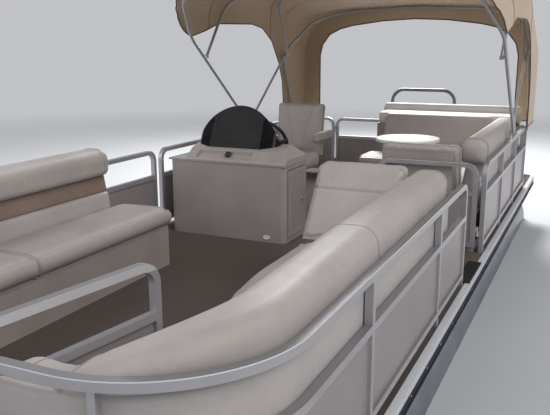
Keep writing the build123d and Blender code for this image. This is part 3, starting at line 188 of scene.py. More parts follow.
def blend(factor, low, high):
    """A colour between two, each a fixed one or one that varies."""
    def colour(value):
        return (*value, 1.0) if isinstance(value, tuple) else value
    made = factor.tree.nodes.new("ShaderNodeMix")
    made.data_type = "RGBA"
    for place, value in ((0, factor), (6, colour(low)), (7, colour(high))):
        feed(made.inputs[place], value)
    return Shade(factor.tree, made.outputs[2])


def bump(shader, height, distance):
    """Tilts the surface as if its height rose by height times a distance in metres."""
    normal = height.node("ShaderNodeBump", None, Strength=1.0, Distance=distance, Height=height)
    plug(shader, "Normal", normal)


# %% [markdown]
# ## Upholstery vinyl
#
# Marine seats are covered in vinyl that is embossed like leather. Its grain is about a millimetre across
# and very shallow, it has a soft sheen, and sun and hands leave it slightly uneven in tone and gloss. A
# picture of vinyl could be wrapped on, but it would need unwrapping and show its seams. Cells for the grain
# and noise for the unevenness need neither.


# %% Vinyl
def vinyl(name, light, dark):
    gloss = {"Specular IOR Level": 0.38, "Sheen Weight": 0.06, "Sheen Roughness": 0.5}
    made, shader, place = material(name, gloss)
    broad = noise(place, 3.1, 4.0)
    fine = noise(place, 26.0, 4.0)
    tone = (broad * 0.7 + fine * 0.3).between(0.32, 0.70)
    plug(shader, "Base Color", blend(tone, dark, light))
    plug(shader, "Roughness", (noise(place, 9.0, 3.0) - 0.5) * 0.16 + 0.50)
    grain = cells(place, 620.0) * 0.5 + noise(place, 240.0, 2.0) * 0.5
    bump(shader, grain + noise(place, 14.0, 2.0) * 3.0, 0.00035)
    return made


VINYL = vinyl("marine_vinyl_taupe", srgb(184, 177, 173), srgb(168, 160, 156))
VINYL_TAN = vinyl("marine_vinyl_tan", srgb(146, 128, 116), srgb(128, 110, 99))
VINYL_LIGHT = vinyl("marine_vinyl_pale", srgb(188, 181, 179), srgb(174, 167, 165))
VINYL_WHITE = vinyl("marine_vinyl_white", srgb(226, 224, 223), srgb(212, 209, 208))
# Welts and pipings: their tubes are real, and their darker vinyl is painted shade along the seams.
VINYL_SHADE = vinyl("marine_vinyl_welt_painted_shade", srgb(160, 152, 147), srgb(144, 135, 130))


# %% [markdown]
# ## Metal
#
# The rails are extruded aluminium with a satin anodised skin: fine lines run along each bar, and handling
# leaves duller patches. The tubes of the hull are mill-finish sheet that has been in the water, so what
# lies below the waterline carries a faint film. Streaks can come from an anisotropic shader, which can't be
# baked, so they come from noise that is stretched far along the bar.


# %% Aluminium and steel
EDGE_HIGHLIGHT_LOW = RAIL_TOP - 0.0045  # where the painted highlight on a rail's rounded top edge begins


def rail_metal(name, colour, rough, stretch, metallic=0.9):
    """Drawn metal. On rails, faces that look up are darker, a painted reflection, and the rounded top edge
    beside them is bright, a painted highlight.
    """
    made, shader, place = material(name, {"Metallic": metallic, "Specular IOR Level": 0.5})
    lines = noise(place, 90.0, 3.0, stretch)
    patches = noise(place, 5.0, 4.0)
    shade = blend(patches.between(0.3, 0.7), tuple(0.88 * c for c in colour), colour)
    if name.startswith("rail"):
        facing_up = place.node("ShaderNodeNewGeometry", out=1).axis(2).between(0.80, 0.95)
        height = place.axis(2) - (DECK_Z + EDGE_HIGHLIGHT_LOW)
        painted_edge_highlight = height.between(0.0, 0.001) * (1.0 - facing_up)
        # painted reflection: faces that look up are darkened to 62 %
        shade = blend(facing_up, shade, tuple(0.62 * c for c in colour))
        # painted highlight: the top 4.5 mm of a rail's sides is nearly white
        shade = blend(painted_edge_highlight, shade, srgb(244, 244, 246))
    plug(shader, "Base Color", shade)
    plug(shader, "Roughness", (patches - 0.5) * 0.18 + (lines - 0.5) * 0.12 + rough)
    bump(shader, lines, 0.00002)
    return made


RAIL = rail_metal("rail_aluminium", srgb(190, 188, 192), 0.40, (0.05, 1.0, 1.0), 0.6)
STEEL = rail_metal("polished_steel", srgb(214, 215, 216), 0.16, (1.0, 1.0, 1.0))
BIMINI_TUBE = rail_metal("bimini_tube", srgb(178, 180, 182), 0.34, (1.0, 1.0, 0.2), 0.6)


LIP_DEEP = 0.0235  # how far the bright lip of the trim reaches below the deck


def trim_metal():
    """Bright lip and bead on top, and below them the dark blue-grey fascia."""
    made, shader, place = material("deck_trim", {"Specular IOR Level": 0.2})
    below = DECK_Z - place.axis(2)
    fascia = below.between(LIP_DEEP, LIP_DEEP + 0.0005)
    ribs = (below * 900.0).math("SINE", below * 900.0)
    lines = noise(place, 70.0, 3.0, (0.05, 0.05, 1.0))
    bright = blend(lines, srgb(196, 198, 202), srgb(214, 216, 220))
    dark = blend(noise(place, 2.4, 4.0).between(0.3, 0.7), srgb(30, 32, 46), srgb(40, 42, 56))
    plug(shader, "Base Color", blend(fascia, bright, dark))
    plug(shader, "Roughness", fascia * 0.30 + (lines - 0.5) * 0.12 + 0.30)
    bump(shader, ribs * 0.3 * (1.0 - fascia) + lines * 0.1, 0.0006)
    return made


TRIM = trim_metal()


def hull_metal():
    made, shader, place = material("hull_aluminium", {"Metallic": 0.85})
    height = place.axis(2)
    along = place.axis(0)
    brushed = noise(place, 60.0, 3.0, (0.04, 1.0, 1.0))
    blotch = noise(place, 2.6, 5.0)
    film = 1.0 - (height + (blotch - 0.5) * 0.14).between(0.24, 0.36)
    colour = blend(blotch.between(0.3, 0.7), srgb(134, 139, 147), srgb(158, 162, 169))
    plug(shader, "Base Color", blend(film * 0.55, colour, srgb(118, 116, 96)))
    plug(shader, "Roughness", (brushed - 0.5) * 0.2 + film * 0.22 + 0.38)
    sheet = along.math("FRACT", along * 0.41 + 0.13)
    bead = 1.0 - sheet.math("ABSOLUTE", sheet - 0.5).between(0.0, 0.004)
    bump(shader, bead * 1.0 + brushed * 0.05 + blotch * 0.6, 0.002)
    return made


HULL = hull_metal()
HOOP = rail_metal("hoop_aluminium", srgb(122, 128, 134), 0.36, (0.3, 1.0, 1.0), 0.6)


# %% [markdown]
# ## Painted and moulded parts
#
# The fence skins are thin painted sheet, so they ripple slightly. Seat bases are moulded in textured
# plastic; the console is smooth gelcoat. They could be built one by one, but they differ only in colour,
# gloss and the size of their texture, so one function makes them all.


# %% Paint, plastic and gelcoat
def moulded(name, light, dark, rough, pebble, depth, coat=0.0, wave=0.0):
    made, shader, place = material(name, {"Coat Weight": coat, "Coat Roughness": 0.12})
    soil = noise(place, 4.0, 5.0)
    plug(shader, "Base Color", blend(soil.between(0.28, 0.72), dark, light))
    plug(shader, "Roughness", (soil - 0.5) * 0.14 + rough)
    height = noise(place, pebble, 2.0)
    if wave:
        height = height + noise(place, 3.2, 1.0) * wave
    bump(shader, height, depth)
    return made


# name, light and dark colour, roughness, size and depth of the texture, clear coat, ripples
SKIN = moulded("fence_skin_paint", srgb(154, 145, 146), srgb(143, 134, 135), 0.40, 300.0, 0.00012, 0.15, 30.0)
BASE = moulded("seat_base_plastic", srgb(166, 156, 152), srgb(152, 142, 138), 0.52, 380.0, 0.0005)
GELCOAT = moulded("console_gelcoat", srgb(170, 161, 158), srgb(159, 150, 147), 0.30, 60.0, 0.00005, 0.3, 6.0)
WHITE = moulded("white_plastic", srgb(242, 241, 239), srgb(233, 232, 230), 0.28, 220.0, 0.00005, 0.2)
BLACK = moulded("black_plastic", srgb(34, 35, 37), srgb(24, 25, 27), 0.42, 500.0, 0.0003)
MOTOR = moulded("motor_paint", srgb(38, 40, 44), srgb(30, 32, 36), 0.25, 200.0, 0.00004, 0.5)
RUBBER = moulded("black_rubber", srgb(26, 26, 26), srgb(18, 18, 18), 0.62, 300.0, 0.0003)


# %% [markdown]
# ## Carpet, canvas and smoked acrylic
#
# The deck is covered with a low pile marine carpet. Hair could model its loops, but they are too small to
# see one by one, so two sizes of noise darken and lift the surface. Canvas is a plain weave: two waves
# across each other give its threads. The windscreen is acrylic so dark that only its gloss and a little of
# what is behind show.


# %% Carpet
def carpet():
    matt = {"Roughness": 0.96, "Specular IOR Level": 0.15, "Sheen Weight": 0.15}
    made, shader, place = material("deck_carpet", matt)
    pile = noise(place, 520.0, 2.0)
    traffic = noise(place, 1.7, 4.0)
    colour = blend(traffic.between(0.3, 0.7), srgb(84, 70, 62), srgb(98, 83, 74))
    plug(shader, "Base Color", blend(pile.between(0.35, 0.65), srgb(64, 53, 47), colour))
    bump(shader, pile + noise(place, 160.0, 2.0) * 0.8, 0.0022)
    return made


CARPET = carpet()


# %% Canvas
def canvas(name, light, dark):
    matt = {"Specular IOR Level": 0.2, "Sheen Weight": 0.25, "Sheen Roughness": 0.6}
    made, shader, place = material(name, matt)
    fade = noise(place, 1.3, 4.0)
    slub = noise(place, 30.0, 3.0, (0.2, 1.0, 1.0))
    plug(shader, "Base Color", blend((fade * 0.7 + slub * 0.3).between(0.3, 0.7), dark, light))
    plug(shader, "Roughness", (slub - 0.5) * 0.1 + 0.86)
    warp, weft = [place.node("ShaderNodeTexWave", {"bands_direction": axis}, Vector=place, Scale=520.0,
                             Distortion=0.4) for axis in "XY"]
    bump(shader, warp * 0.5 + weft * 0.5 + noise(place, 5.0, 2.0) * 12.0, 0.0005)
    return made


CANVAS = canvas("bimini_canvas", srgb(206, 184, 157), srgb(190, 168, 141))
CANVAS_BINDING = canvas("bimini_binding", srgb(92, 74, 62), srgb(76, 60, 50))


# %% Smoked acrylic
def smoked():
    """Nearly black sheet with a paler rim, a painted highlight where its faces look up and aft, as on its top
    edge.
    """
    made, shader, place = material("smoked_acrylic", {"Roughness": 0.09, "Specular IOR Level": 0.12})
    smear = noise(place, 7.0, 4.0)
    tint = blend(smear.between(0.35, 0.65), srgb(18, 17, 20), srgb(26, 25, 28))
    facing = place.node("ShaderNodeNewGeometry", out=1)
    # painted highlight: faces that look up and aft turn pale grey
    edge = facing.node("ShaderNodeVectorMath", {"operation": "DOT_PRODUCT"}, facing, (-0.42, 0.0, 0.9), out=1)
    plug(shader, "Base Color", blend(edge.between(0.20, 0.35), tint, srgb(120, 117, 120)))
    plug(shader, "Alpha", (smear - 0.5) * 0.04 + 0.93)
    return made


SMOKED = smoked()

# %% [markdown]
# ## Give each solid part its finish
#
# The table below names the finish of every solid part that is shown as it was built. The finishes could be
# set part by part, but a table can be read at a glance and checked against the frame. All other parts are
# cushions, which soft pieces will replace. They get vinyl, so that nothing is ever left grey.

# %% Finishes by part
FINISHES = [
    (HULL, ["pontoon_port", "pontoon_starboard", "deck_risers", "cross_channels", "motor_pod"]),
    (CARPET, ["deck_boards"]),
    (TRIM, ["deck_edge_trim"]),
    (RAIL, ["fence_frame_port", "fence_frame_starboard", "bow_gate_frame", "side_gate_frame",
            "stern_gate_frame", "table_post", "chair_pedestal", "bimini_mounts"]),
    (HOOP, ["stern_hoop"]),
    (BIMINI_TUBE, ["bimini_bow_front", "bimini_bow_second", "bimini_bow_third", "bimini_bow_rear",
                   "bimini_rear_braces"]),
    (STEEL, ["mooring_cleats"]),
    (SKIN, ["fence_panels_port", "fence_panels_starboard", "bow_gate_panel", "side_gate_panel",
            "stern_gate_panel"]),
    (BASE, ["port_bow_lounge_base", "starboard_bow_lounge_base", "stern_lounge_base"]),
    (GELCOAT, ["console_shell", "console_dash", "console_door"]),
    (SMOKED, ["windscreen"]),
    (BLACK, ["steering_wheel", "throttle_control", "motor_propeller"]),
    (MOTOR, ["motor_cowl", "motor_leg", "motor_swivel_bracket", "motor_clamp_bracket"]),
    (WHITE, ["table_top"]),
    (CANVAS, ["bimini_canopy"]),
    (VINYL_TAN, ["port_bow_back_stripe", "starboard_bow_back_stripe"]),
]
finish_of = {node: finish for finish, nodes in FINISHES for node in nodes}
for node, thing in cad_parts.items():
    thing.data.materials.clear()
    thing.data.materials.append(finish_of.get(node, VINYL))
print("in vinyl:", sorted(set(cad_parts) - set(finish_of)))

# %% [markdown]
# ## Skins made of rings
#
# Every cushion is a closed skin, and nearly all are long. So one way of making a mesh is enough: a stack of
# rings, each a closed outline, along a path. A cage under a subdivision modifier would also do, but rings
# keep every size in one formula, so a cushion can follow the fence exactly.


# %% Rings, tubes and pieces
def together(*coordinates):
    """Arrays of coordinates, stretched to one shape, as the last axis of one array."""
    return np.stack(np.broadcast_arrays(*coordinates), axis=-1)


def unit(vectors):
    """Vectors along the last axis, each made one long."""
    return vectors / np.linalg.norm(vectors, axis=-1, keepdims=True)


def lofted(rings):
    """Points and faces of a closed skin from rings of shape (rows, around, 3): quads join ring i to i + 1,
    and a fan to the middle closes each end."""
    rows, around = rings.shape[:2]
    index = np.arange(rows * around).reshape(rows, around)
    after = np.roll(index, -1, axis=1)
    quads = np.stack([index[:-1], after[:-1], after[1:], index[1:]], axis=-1).reshape(-1, 4).tolist()
    first, last = rows * around, rows * around + 1
    quads += np.stack([after[0], index[0], np.full(around, first)], axis=-1).tolist()
    quads += np.stack([index[-1], after[-1], np.full(around, last)], axis=-1).tolist()
    points = np.concatenate([rings.reshape(-1, 3), rings[:1].mean(axis=1), rings[-1:].mean(axis=1)])
    return points, quads


def tube(path, radius, around, side):
    """A round tube: a circle of radius in the plane square to the path at each point, closed at both ends.
    side is any direction that the path never runs along."""
    ahead = unit(np.gradient(path, axis=0))
    across = unit(np.cross(ahead, side))
    up = np.cross(across, ahead)
    turn = np.linspace(0, 2 * np.pi, around, endpoint=False)
    ring = np.cos(turn)[None, :, None] * across[:, None] + np.sin(turn)[None, :, None] * up[:, None]
    return lofted(path[:, None] + radius * ring)


# %% One piece from its skins
def piece(name, skins, finish, body="boat", replaces=()):
    """One object from several (points, faces) skins, normals outward, riding on a body of the frame. It
    stands for the solids that it replaces."""
    points, faces = [], []
    for skin_points, skin_faces in skins:
        start = len(points)
        points += skin_points.tolist()
        faces += [[start + i for i in face] for face in skin_faces]
    mesh = bpy.data.meshes.new(name)
    mesh.from_pydata(points, [], faces)
    work = bmesh.new()
    work.from_mesh(mesh)
    bmesh.ops.remove_doubles(work, verts=work.verts, dist=1e-6)
    bmesh.ops.recalc_face_normals(work, faces=work.faces)
    work.to_mesh(mesh)
    work.free()
    mesh.shade_smooth()
    mesh.materials.append(finish)
    made = bpy.data.objects.new(name, mesh)
    bpy.context.scene.collection.objects.link(made)
    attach(made, body)
    if replaces:
        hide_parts(*replaces)
    print("piece", name, len(mesh.polygons), "faces")
    return made


# %% [markdown]
# ## Outlines and ends
#
# A cushion's cross-section is a polygon whose corners are rounded, each by its own radius. Its end isn't
# flat: the cover is pulled over the foam, so the section shrinks quickly over the last few centimetres,
# along a curve between an ellipse and a square. A Bevel modifier rounds all corners alike and leaves the
# end flat, so both are worked out here, by one formula each.


# %% Outlines and ends
def distances(line):
    """How far along a line of points each of them is."""
    return np.concatenate([[0], np.cumsum(np.linalg.norm(np.diff(line, axis=0), axis=1))])


def pick(line, distance, places):
    """Points at given places along a flat line, where distance has the place of each of the line's points."""
    return np.stack([np.interp(places, distance, line[:, k]) for k in (0, 1)], axis=1)


def soft_outline(corners, count):
    """A closed outline from (a, b, radius) corners: each becomes a circular arc, then count points are
    spread evenly along its length."""
    corners = np.array(corners)
    spots, radii = corners[:, :2], corners[:, 2]
    back = unit(np.roll(spots, 1, axis=0) - spots)
    ahead = unit(np.roll(spots, -1, axis=0) - spots)
    half = 0.5 * np.arccos(np.clip((back * ahead).sum(axis=1), -1, 1))
    reach = (radii / np.tan(half))[:, None, None]
    t = np.linspace(0, 1, 11)[None, :, None]
    weight = np.sin(half)[:, None, None]
    middle = spots[:, None]
    start = middle + back[:, None] * reach
    end = middle + ahead[:, None] * reach
    arcs = (1 - t) ** 2 * start + 2 * weight * t * (1 - t) * middle + t ** 2 * end
    arcs = (arcs / ((1 - t) ** 2 + 2 * weight * t * (1 - t) + t ** 2)).reshape(-1, 2)
    loop = np.concatenate([arcs, arcs[:1]])
    length = distances(loop)
    return pick(loop, length, np.linspace(0, length[-1], count, endpoint=False))


def stations(length, step, reach):
    """Places along a length, step apart, and closer and closer over reach at both ends."""
    near = reach * (1 - np.cos(np.linspace(0, np.pi / 2, 9)))
    middle = np.linspace(reach, length - reach, max(2, int((length - 2 * reach) / step)))
    return np.concatenate([near[:-1], middle, length - near[::-1][1:]])


def end_pinch(along, reach, power=2.6):
    """1 along the middle and 0 at both ends: the superellipse (1 - (1 - d / reach)^power)^(1 / power)."""
    d = np.clip(np.minimum(along - along.min(), along.max() - along) / reach, 0, 1)
    return (1 - (1 - d) ** power) ** (1 / power)


# %% [markdown]
# ## Along the fence
#
# The bow lounges follow the fence along the side, round the bow corner and across the front. Their bolster,
# stripe and back pad are therefore profiles carried along the same path, each measured inwards from the
# fence's outer line. A curve with a bevel object would carry them too, but the crest of the back also sinks
# towards the gate, and a formula in the place along the path can do that. The starboard lounge is the port
# one with its widths reversed.


# %% Path along the fence
RING_STEP = 0.014  # between two rings of a long cushion


def crest_drop(y, x):
    """How far the crest of the back is below its full height, by the fence line's own place: a little along
    the side ahead of x = 1.9, more round the bow corner, and 205 mm for the low cap beside the bow gate."""
    places = [0.45, 0.53, 0.60, 0.66, 0.70, 0.755, 0.840, 0.933, 1.040, 1.143, 1.205, FENCE_Y]
    drops = [0.209, 0.203, 0.209, 0.206, 0.193, 0.160, 0.129, 0.100, 0.069, 0.042, 0.028, 0.022]
    aft_of_corner = 0.022 * np.clip((FRONT_X - CORNER_R - x) / 0.8, 0, 1)
    return np.interp(y, places, drops) - aft_of_corner


def along_fence(profile, aft_x, end_y, side, sink, reach):
    """Rings of an (inset, height) profile: place(s) + inward(s) * inset. The crest's drop(s) lowers the
    bottom and the top of the profile by the two shares in sink, and what lies between in proportion."""
    run = FRONT_X - CORNER_R - aft_x
    arc = CORNER_R * np.pi / 2
    s = stations(run + arc + FENCE_Y - CORNER_R - end_y, RING_STEP, reach)
    angle = np.clip((s - run) / CORNER_R, 0, np.pi / 2)
    x = np.where(s < run, aft_x + s, FRONT_X - CORNER_R + CORNER_R * np.sin(angle))
    y = FENCE_Y - CORNER_R + CORNER_R * np.cos(angle) - np.maximum(s - run - arc, 0)
    inward = np.stack([-np.sin(angle), -np.cos(angle)], axis=1)
    pinch = end_pinch(s, reach)[:, None]
    share = (profile[:, 1] - profile[:, 1].min()) / np.ptp(profile[:, 1])
    height = profile[None, :, 1] - crest_drop(y, x)[:, None] * (sink[0] + (sink[1] - sink[0]) * share)
    middle_in, middle_up = profile[:, 0].mean(), height.mean(axis=1)[:, None]
    inset = middle_in + (profile[None, :, 0] - middle_in) * pinch
    height = middle_up + (height - middle_up) * pinch
    across = (y[:, None] + inward[:, 1:] * inset) * side
    return on_deck(together(x[:, None] + inward[:, :1] * inset, across, height))


# %% Outlines and seams of a back
# Outlines: (inset from the fence line, height over the deck, corner radius)
BOLSTER = soft_outline([(0.030, 0.600, 0.020), (0.227, 0.600, 0.045), (0.227, 0.775, 0.078),
                        (0.026, 0.775, 0.072)], 56)
STRIPE = soft_outline([(0.060, 0.484, 0.010), (0.1855, 0.484, 0.010), (0.164, 0.602, 0.010),
                       (0.060, 0.602, 0.010)], 32)
BACK_PAD = soft_outline([(0.060, 0.265, 0.010), (0.212, 0.265, 0.010), (0.214, 0.375, 0.050),
                         (0.203, 0.486, 0.022), (0.060, 0.486, 0.010)], 44)
BACK_SHELL = soft_outline([(0.022, 0.265, 0.012), (0.064, 0.265, 0.010), (0.064, 0.606, 0.010),
                           (0.022, 0.606, 0.014)], 32)


def seam_over(rings, row, bend=0.0, first=13):
    """A line across a skin: the ring at a row from its point number first on, which leaves out the
    underside. Its middle lies bend rows further on."""
    k = np.arange(first, rings.shape[1])
    spot = row + bend * np.sin(np.pi * (k - first) / (len(k) - 1))
    low = np.floor(spot).astype(int)
    share = (spot - low)[:, None]
    return rings[low, k] * (1 - share) + rings[low + 1, k] * share


def row_near(rings, x=None, y=None):
    """The row of rings whose middle is nearest to a place along the boat, or across it on the front run."""
    middle = rings.mean(axis=1) - on_deck([0, 0, 0])
    if y is None:
        return int(np.abs(middle[:, 0] - x).argmin())
    return int((np.abs(np.abs(middle[:, 1]) - y) + 9.0 * (middle[:, 0] < FRONT_X - CORNER_R)).argmin())


# %% The backs of both bow lounges
BACK_END_Y = 0.485  # where a back ends beside the bow gate
LOUNGES = {"port": (1, 0.600), "starboard": (-1, 0.685)}  # side, and where the back ends aft
LAYERS = [  # piece, outline, how far its two ends stay in, shares of the drop, reach, finish, solid, foam
    ("bolster_skin", BOLSTER, 0.000, 0.000, (0.75, 1.00), 0.060, VINYL, "bolster", 0.9),
    ("stripe_skin", STRIPE, 0.004, 0.005, (0.40, 0.75), 0.012, VINYL_TAN, "back_stripe", 0.9),
    ("pad_skin", BACK_PAD, 0.002, 0.003, (0.00, 0.40), 0.030, VINYL_LIGHT, "back_pad", 0.8),
    ("back_shell", BACK_SHELL, 0.000, 0.001, (0.00, 0.20), 0.020, VINYL_LIGHT, "back_pad", 0.8),
]
for name, (side, aft_x) in LOUNGES.items():
    rings = {part: along_fence(outline, aft_x + aft_in, BACK_END_Y + end_in, side, sink, reach)
             for part, outline, aft_in, end_in, sink, reach, *_ in LAYERS}
    bolster = rings["bolster_skin"]
    seams = [seam_over(bolster, row_near(bolster, x=x), 5.0) for x in (1.905, 1.893)]
    seams += [seam_over(bolster, row_near(bolster, y=y), -4.0) for y in (0.70, 0.71)]
    seams += [seam_over(bolster, row) for row in (9, len(bolster) - 10)]
    welts = [tube(line, 0.0022, 6, (0.2, 0.1, 1.0)) for line in seams]
    piece(f"{name}_bow_bolster_seams", welts, VINYL_SHADE)
    for part, *_, finish, solid, fill in LAYERS:
        skin = lofted(rings[part])
        piece(f"{name}_bow_{part}", [skin], finish, replaces=[f"{name}_bow_{solid}"])
    print(name, "bolster rings", bolster.shape)

# %% [markdown]
# ## Seat cushions
#
# A seat cushion is a flat slab with a fat roll sewn along its inboard edge, so that a sitter's knees meet a
# curve. A welt runs round each end of the roll. Cloth could blow up a box, but it would round off the
# valley that the seam makes behind the roll. So the section below has the roll, the valley and a crowned
# top, and is carried straight along the boat, or across it for the bench.


# %% Seats
SEAT_LOW, SEAT_TOP = 0.265, 0.385  # underside and top over the deck
SEAT_BACK_Y = 1.018  # where the seats meet the back pads
ROLL_R, ROLL_PROUD = 0.054, 0.003  # the roll's radius, and how far it stands over the seat's top
VALLEY = 0.013  # how deep the seam behind the roll lies under the seat's top
SEAT_END = 0.022  # how far from its ends a seat is drawn in
WELT_R = 0.0045


def seat_section(width):
    """Outlines (rows, around, 2) of (distance from the inboard edge, height) for each seat width: the roll,
    the valley, a top that rises by 0.021 * sqrt(t / 0.12), the outer side and the underside."""
    width = width[:, None]
    turn = np.radians(np.linspace(-100, 58, 20))[None, :]
    roll_in = ROLL_R - ROLL_R * np.cos(turn) + 0 * width
    roll = together(roll_in, SEAT_TOP + ROLL_PROUD - ROLL_R + ROLL_R * np.sin(turn))
    t = np.linspace(0, 1, 22)[None, :]
    start = roll_in[:, -1:] + 0.012
    rise = 0.021 * np.minimum(1, t / 0.12) ** 0.5 * (1 - 0.12 * t) - 0.016 * t ** 14
    top = together(start + (width - start) * t, SEAT_TOP - VALLEY + rise)
    t = np.linspace(0, 1, 8)[None, :]
    outer = together(width + 0 * t, SEAT_TOP - 0.02 - (SEAT_TOP - SEAT_LOW - 0.03) * t)
    t = np.linspace(0, 1, 14)[None, :]
    under = together(0.03 + (width - 0.03) * (1 - t), SEAT_LOW + 0 * t)
    return np.concatenate([roll, top, outer, under], axis=1)


def seat(start, end, inner, outer, place, corner=0.0):
    """Skins of a cushion and its two end welts; place(along, across, height) puts them on the boat. inner
    is the inboard edge, or a function that gives it from the place along the boat. corner is the radius by
    which the outer edge turns in at the far end."""
    s = stations(abs(end - start), RING_STEP, SEAT_END)
    along = start + np.sign(end - start) * s
    cut = np.maximum(0, s - (abs(end - start) - corner)) if corner else 0 * s
    inner = (inner(along) if callable(inner) else inner + 0 * along)[:, None]
    width = outer - inner[:, 0] - (corner - np.sqrt(np.maximum(corner ** 2 - cut ** 2, 0.0)))
    section = seat_section(width)
    pinch = end_pinch(s, SEAT_END, 3.0)[:, None, None]
    middle = section.mean(axis=1, keepdims=True)
    section = middle + (section - middle) * (0.80 + 0.20 * pinch)
    section[[0, -1]] = middle[[0, -1]] + (section[[0, -1]] - middle[[0, -1]]) * 0.5
    skins = [lofted(place(along[:, None] + 0 * section[..., 0], inner + section[..., 0], section[..., 1]))]
    for row in (6, -7):
        loop = section[row, :34]  # the roll and the front of the top
        welt = place(along[row] + 0 * loop[:, 0], inner[row] + loop[:, 0], loop[:, 1])
        skins.append(tube(welt, WELT_R, 8, place(1.0, 0.0, 0.0) - place(0.0, 0.0, 0.0)))
    return skins


# %% Where seats go
def lengthways(side):
    """Puts (along, across, height) on the boat with along = X and across = Y on one side."""
    return lambda along, across, height: on_deck(together(along, side * np.asarray(across), height))


def crossways(front):
    """Puts (along, across, height) on the boat with along = Y and across measured aft from front."""
    return lambda along, across, height: on_deck(together(front - np.asarray(across), along, height))


SEAT_EDGE_Y = 0.590  # inboard edge of a seat
DEEPER = 0.105  # how much deeper the port seat is beside the chaise


def deep_edge(along):
    """The port seat's inboard edge: 105 mm further in beside the chaise, easing out ahead of the split."""
    t = np.clip((along - 1.45) / 0.90, 0, 1)
    return SEAT_EDGE_Y - DEEPER + DEEPER * t * t * (3 - 2 * t)


# %% The seats and the plinth
SPLIT_X, GAP = 1.833, 0.003  # where the two cushions of a bow seat meet, and half their gap
FRONT_END_X = 2.983  # front end of a bow seat
BOW_SEATS = {"port": (1, 1.005, deep_edge), "starboard": (-1, 0.615, SEAT_EDGE_Y)}
for name, (side, aft_x, edge) in BOW_SEATS.items():
    skins = seat(aft_x, SPLIT_X - GAP, edge, SEAT_BACK_Y, lengthways(side))
    skins += seat(SPLIT_X + GAP, FRONT_END_X, edge, SEAT_BACK_Y, lengthways(side), corner=CORNER_R - 0.217)
    piece(f"{name}_bow_seat_skins", skins, VINYL, replaces=[f"{name}_bow_seats"])
plinth_x = np.linspace(0.872, 2.330, 60)
plinth_in = deep_edge(plinth_x) + 0.030
plinth_ring = soft_outline([(0.0, 0.002, 0.004), (0.0, 0.263, 0.012), (1.0, 0.263, 0.004),
                            (1.0, 0.002, 0.004)], 24)
plinth_y = plinth_in[:, None] + (0.640 - plinth_in)[:, None] * plinth_ring[None, :, 0]
plinth = on_deck(together(plinth_x[:, None], plinth_y, plinth_ring[None, :, 1]))
piece("port_bow_seat_plinth", [lofted(plinth)], BASE)
stern_skins = seat(-0.760, -2.018, SEAT_EDGE_Y, SEAT_BACK_Y, lengthways(1))
stern_skins += seat(-0.180, SEAT_BACK_Y, 0.0, 0.456, crossways(-2.024))
piece("stern_seat_skins", stern_skins, VINYL, replaces=["stern_lounge_seats"])

# %% [markdown]
# ## The stern lounge's backs
#
# The stern lounge is an L. Along the side its back is the same as at the bow, without the stripe. Across
# the stern the back leans against the sun pad, a thin mattress on a box, and the sun pad ends in a second
# bolster. Each could be a box with a bevel, but then its ends would be as stiff as wood. All are straight,
# so a helper carries one outline between two points and pulls its ends in.


# %% Straight rolls and pads
def straight(profile, start, end, place, reach=0.05, power=2.6):
    """Rings of an (across, height) profile, carried along a straight line and pinched at both ends."""
    s = stations(abs(end - start), 0.016, reach)
    along = start + np.sign(end - start) * s
    pinch = end_pinch(s, reach, power)[:, None]
    middle = profile.mean(axis=0)
    across = middle[0] + (profile[None, :, 0] - middle[0]) * pinch
    height = middle[1] + (profile[None, :, 1] - middle[1]) * pinch
    return place(along[:, None] + 0 * across, across, height)


def from_fence(along, inset, height):
    """Puts (along, inset, height) on the boat, with inset measured inwards from the port fence line."""
    return on_deck(together(along, FENCE_Y - inset, height))


# %% The stern lounge's backs
# Outlines: (inset, height, corner radius), where the last three measure aft from a line across the boat
SIDE_PAD = soft_outline([(0.022, 0.265, 0.010), (0.212, 0.265, 0.010), (0.214, 0.380, 0.040),
                         (0.180, 0.602, 0.030), (0.022, 0.602, 0.010)], 44)
REAR_PAD = soft_outline([(0.470, 0.265, 0.010), (0.464, 0.500, 0.090), (0.520, 0.768, 0.045),
                         (0.606, 0.768, 0.030), (0.606, 0.265, 0.010)], 60)
SUN_PAD = soft_outline([(2.642, 0.655, 0.012), (2.642, 0.768, 0.036), (2.970, 0.768, 0.036),
                        (2.970, 0.655, 0.012)], 56)
REAR_ROLL = soft_outline([(2.972, 0.657, 0.030), (2.972, 0.838, 0.047), (3.074, 0.838, 0.047),
                          (3.074, 0.657, 0.030)], 44)
BENCH_AFT_X = -2.512  # aft end of the side's back
side_bolster = straight(BOLSTER, -0.730, BENCH_AFT_X, from_fence, 0.06)
piece("stern_side_bolster_skin", [lofted(side_bolster)], VINYL, replaces=["stern_lounge_bolsters"])
pipings = [tube(seam_over(side_bolster, row, 0.0, 0), 0.003, 6, (1.0, 0.0, 0.0)) for row in (7, 9)]
piece("stern_side_bolster_pipings", pipings, VINYL_SHADE)
STERN_BACKS = [  # piece, rings, finish, the solid it stands for, foam
    ("stern_side_pad_skin", straight(SIDE_PAD, -0.800, BENCH_AFT_X, from_fence, 0.03),
     VINYL_LIGHT, "stern_lounge_back_pads", 0.85),
    ("stern_rear_pad_skin", straight(REAR_PAD, -0.080, 1.016, crossways(-2.016), 0.05),
     VINYL, "stern_lounge_back_pads", 0.85),
    ("sun_pad_skin", straight(SUN_PAD, -0.180, 1.165, crossways(0.0), 0.035, 3.0),
     VINYL_WHITE, "stern_lounge_back_pads", 0.8),
    ("stern_rear_bolster_skin", straight(REAR_ROLL, -0.220, 1.205, crossways(0.0), 0.05),
     VINYL_WHITE, "stern_lounge_bolsters", 0.95),
]
for name, rings, finish, solid, fill in STERN_BACKS:
    piece(name, [lofted(rings)], finish, replaces=[solid])

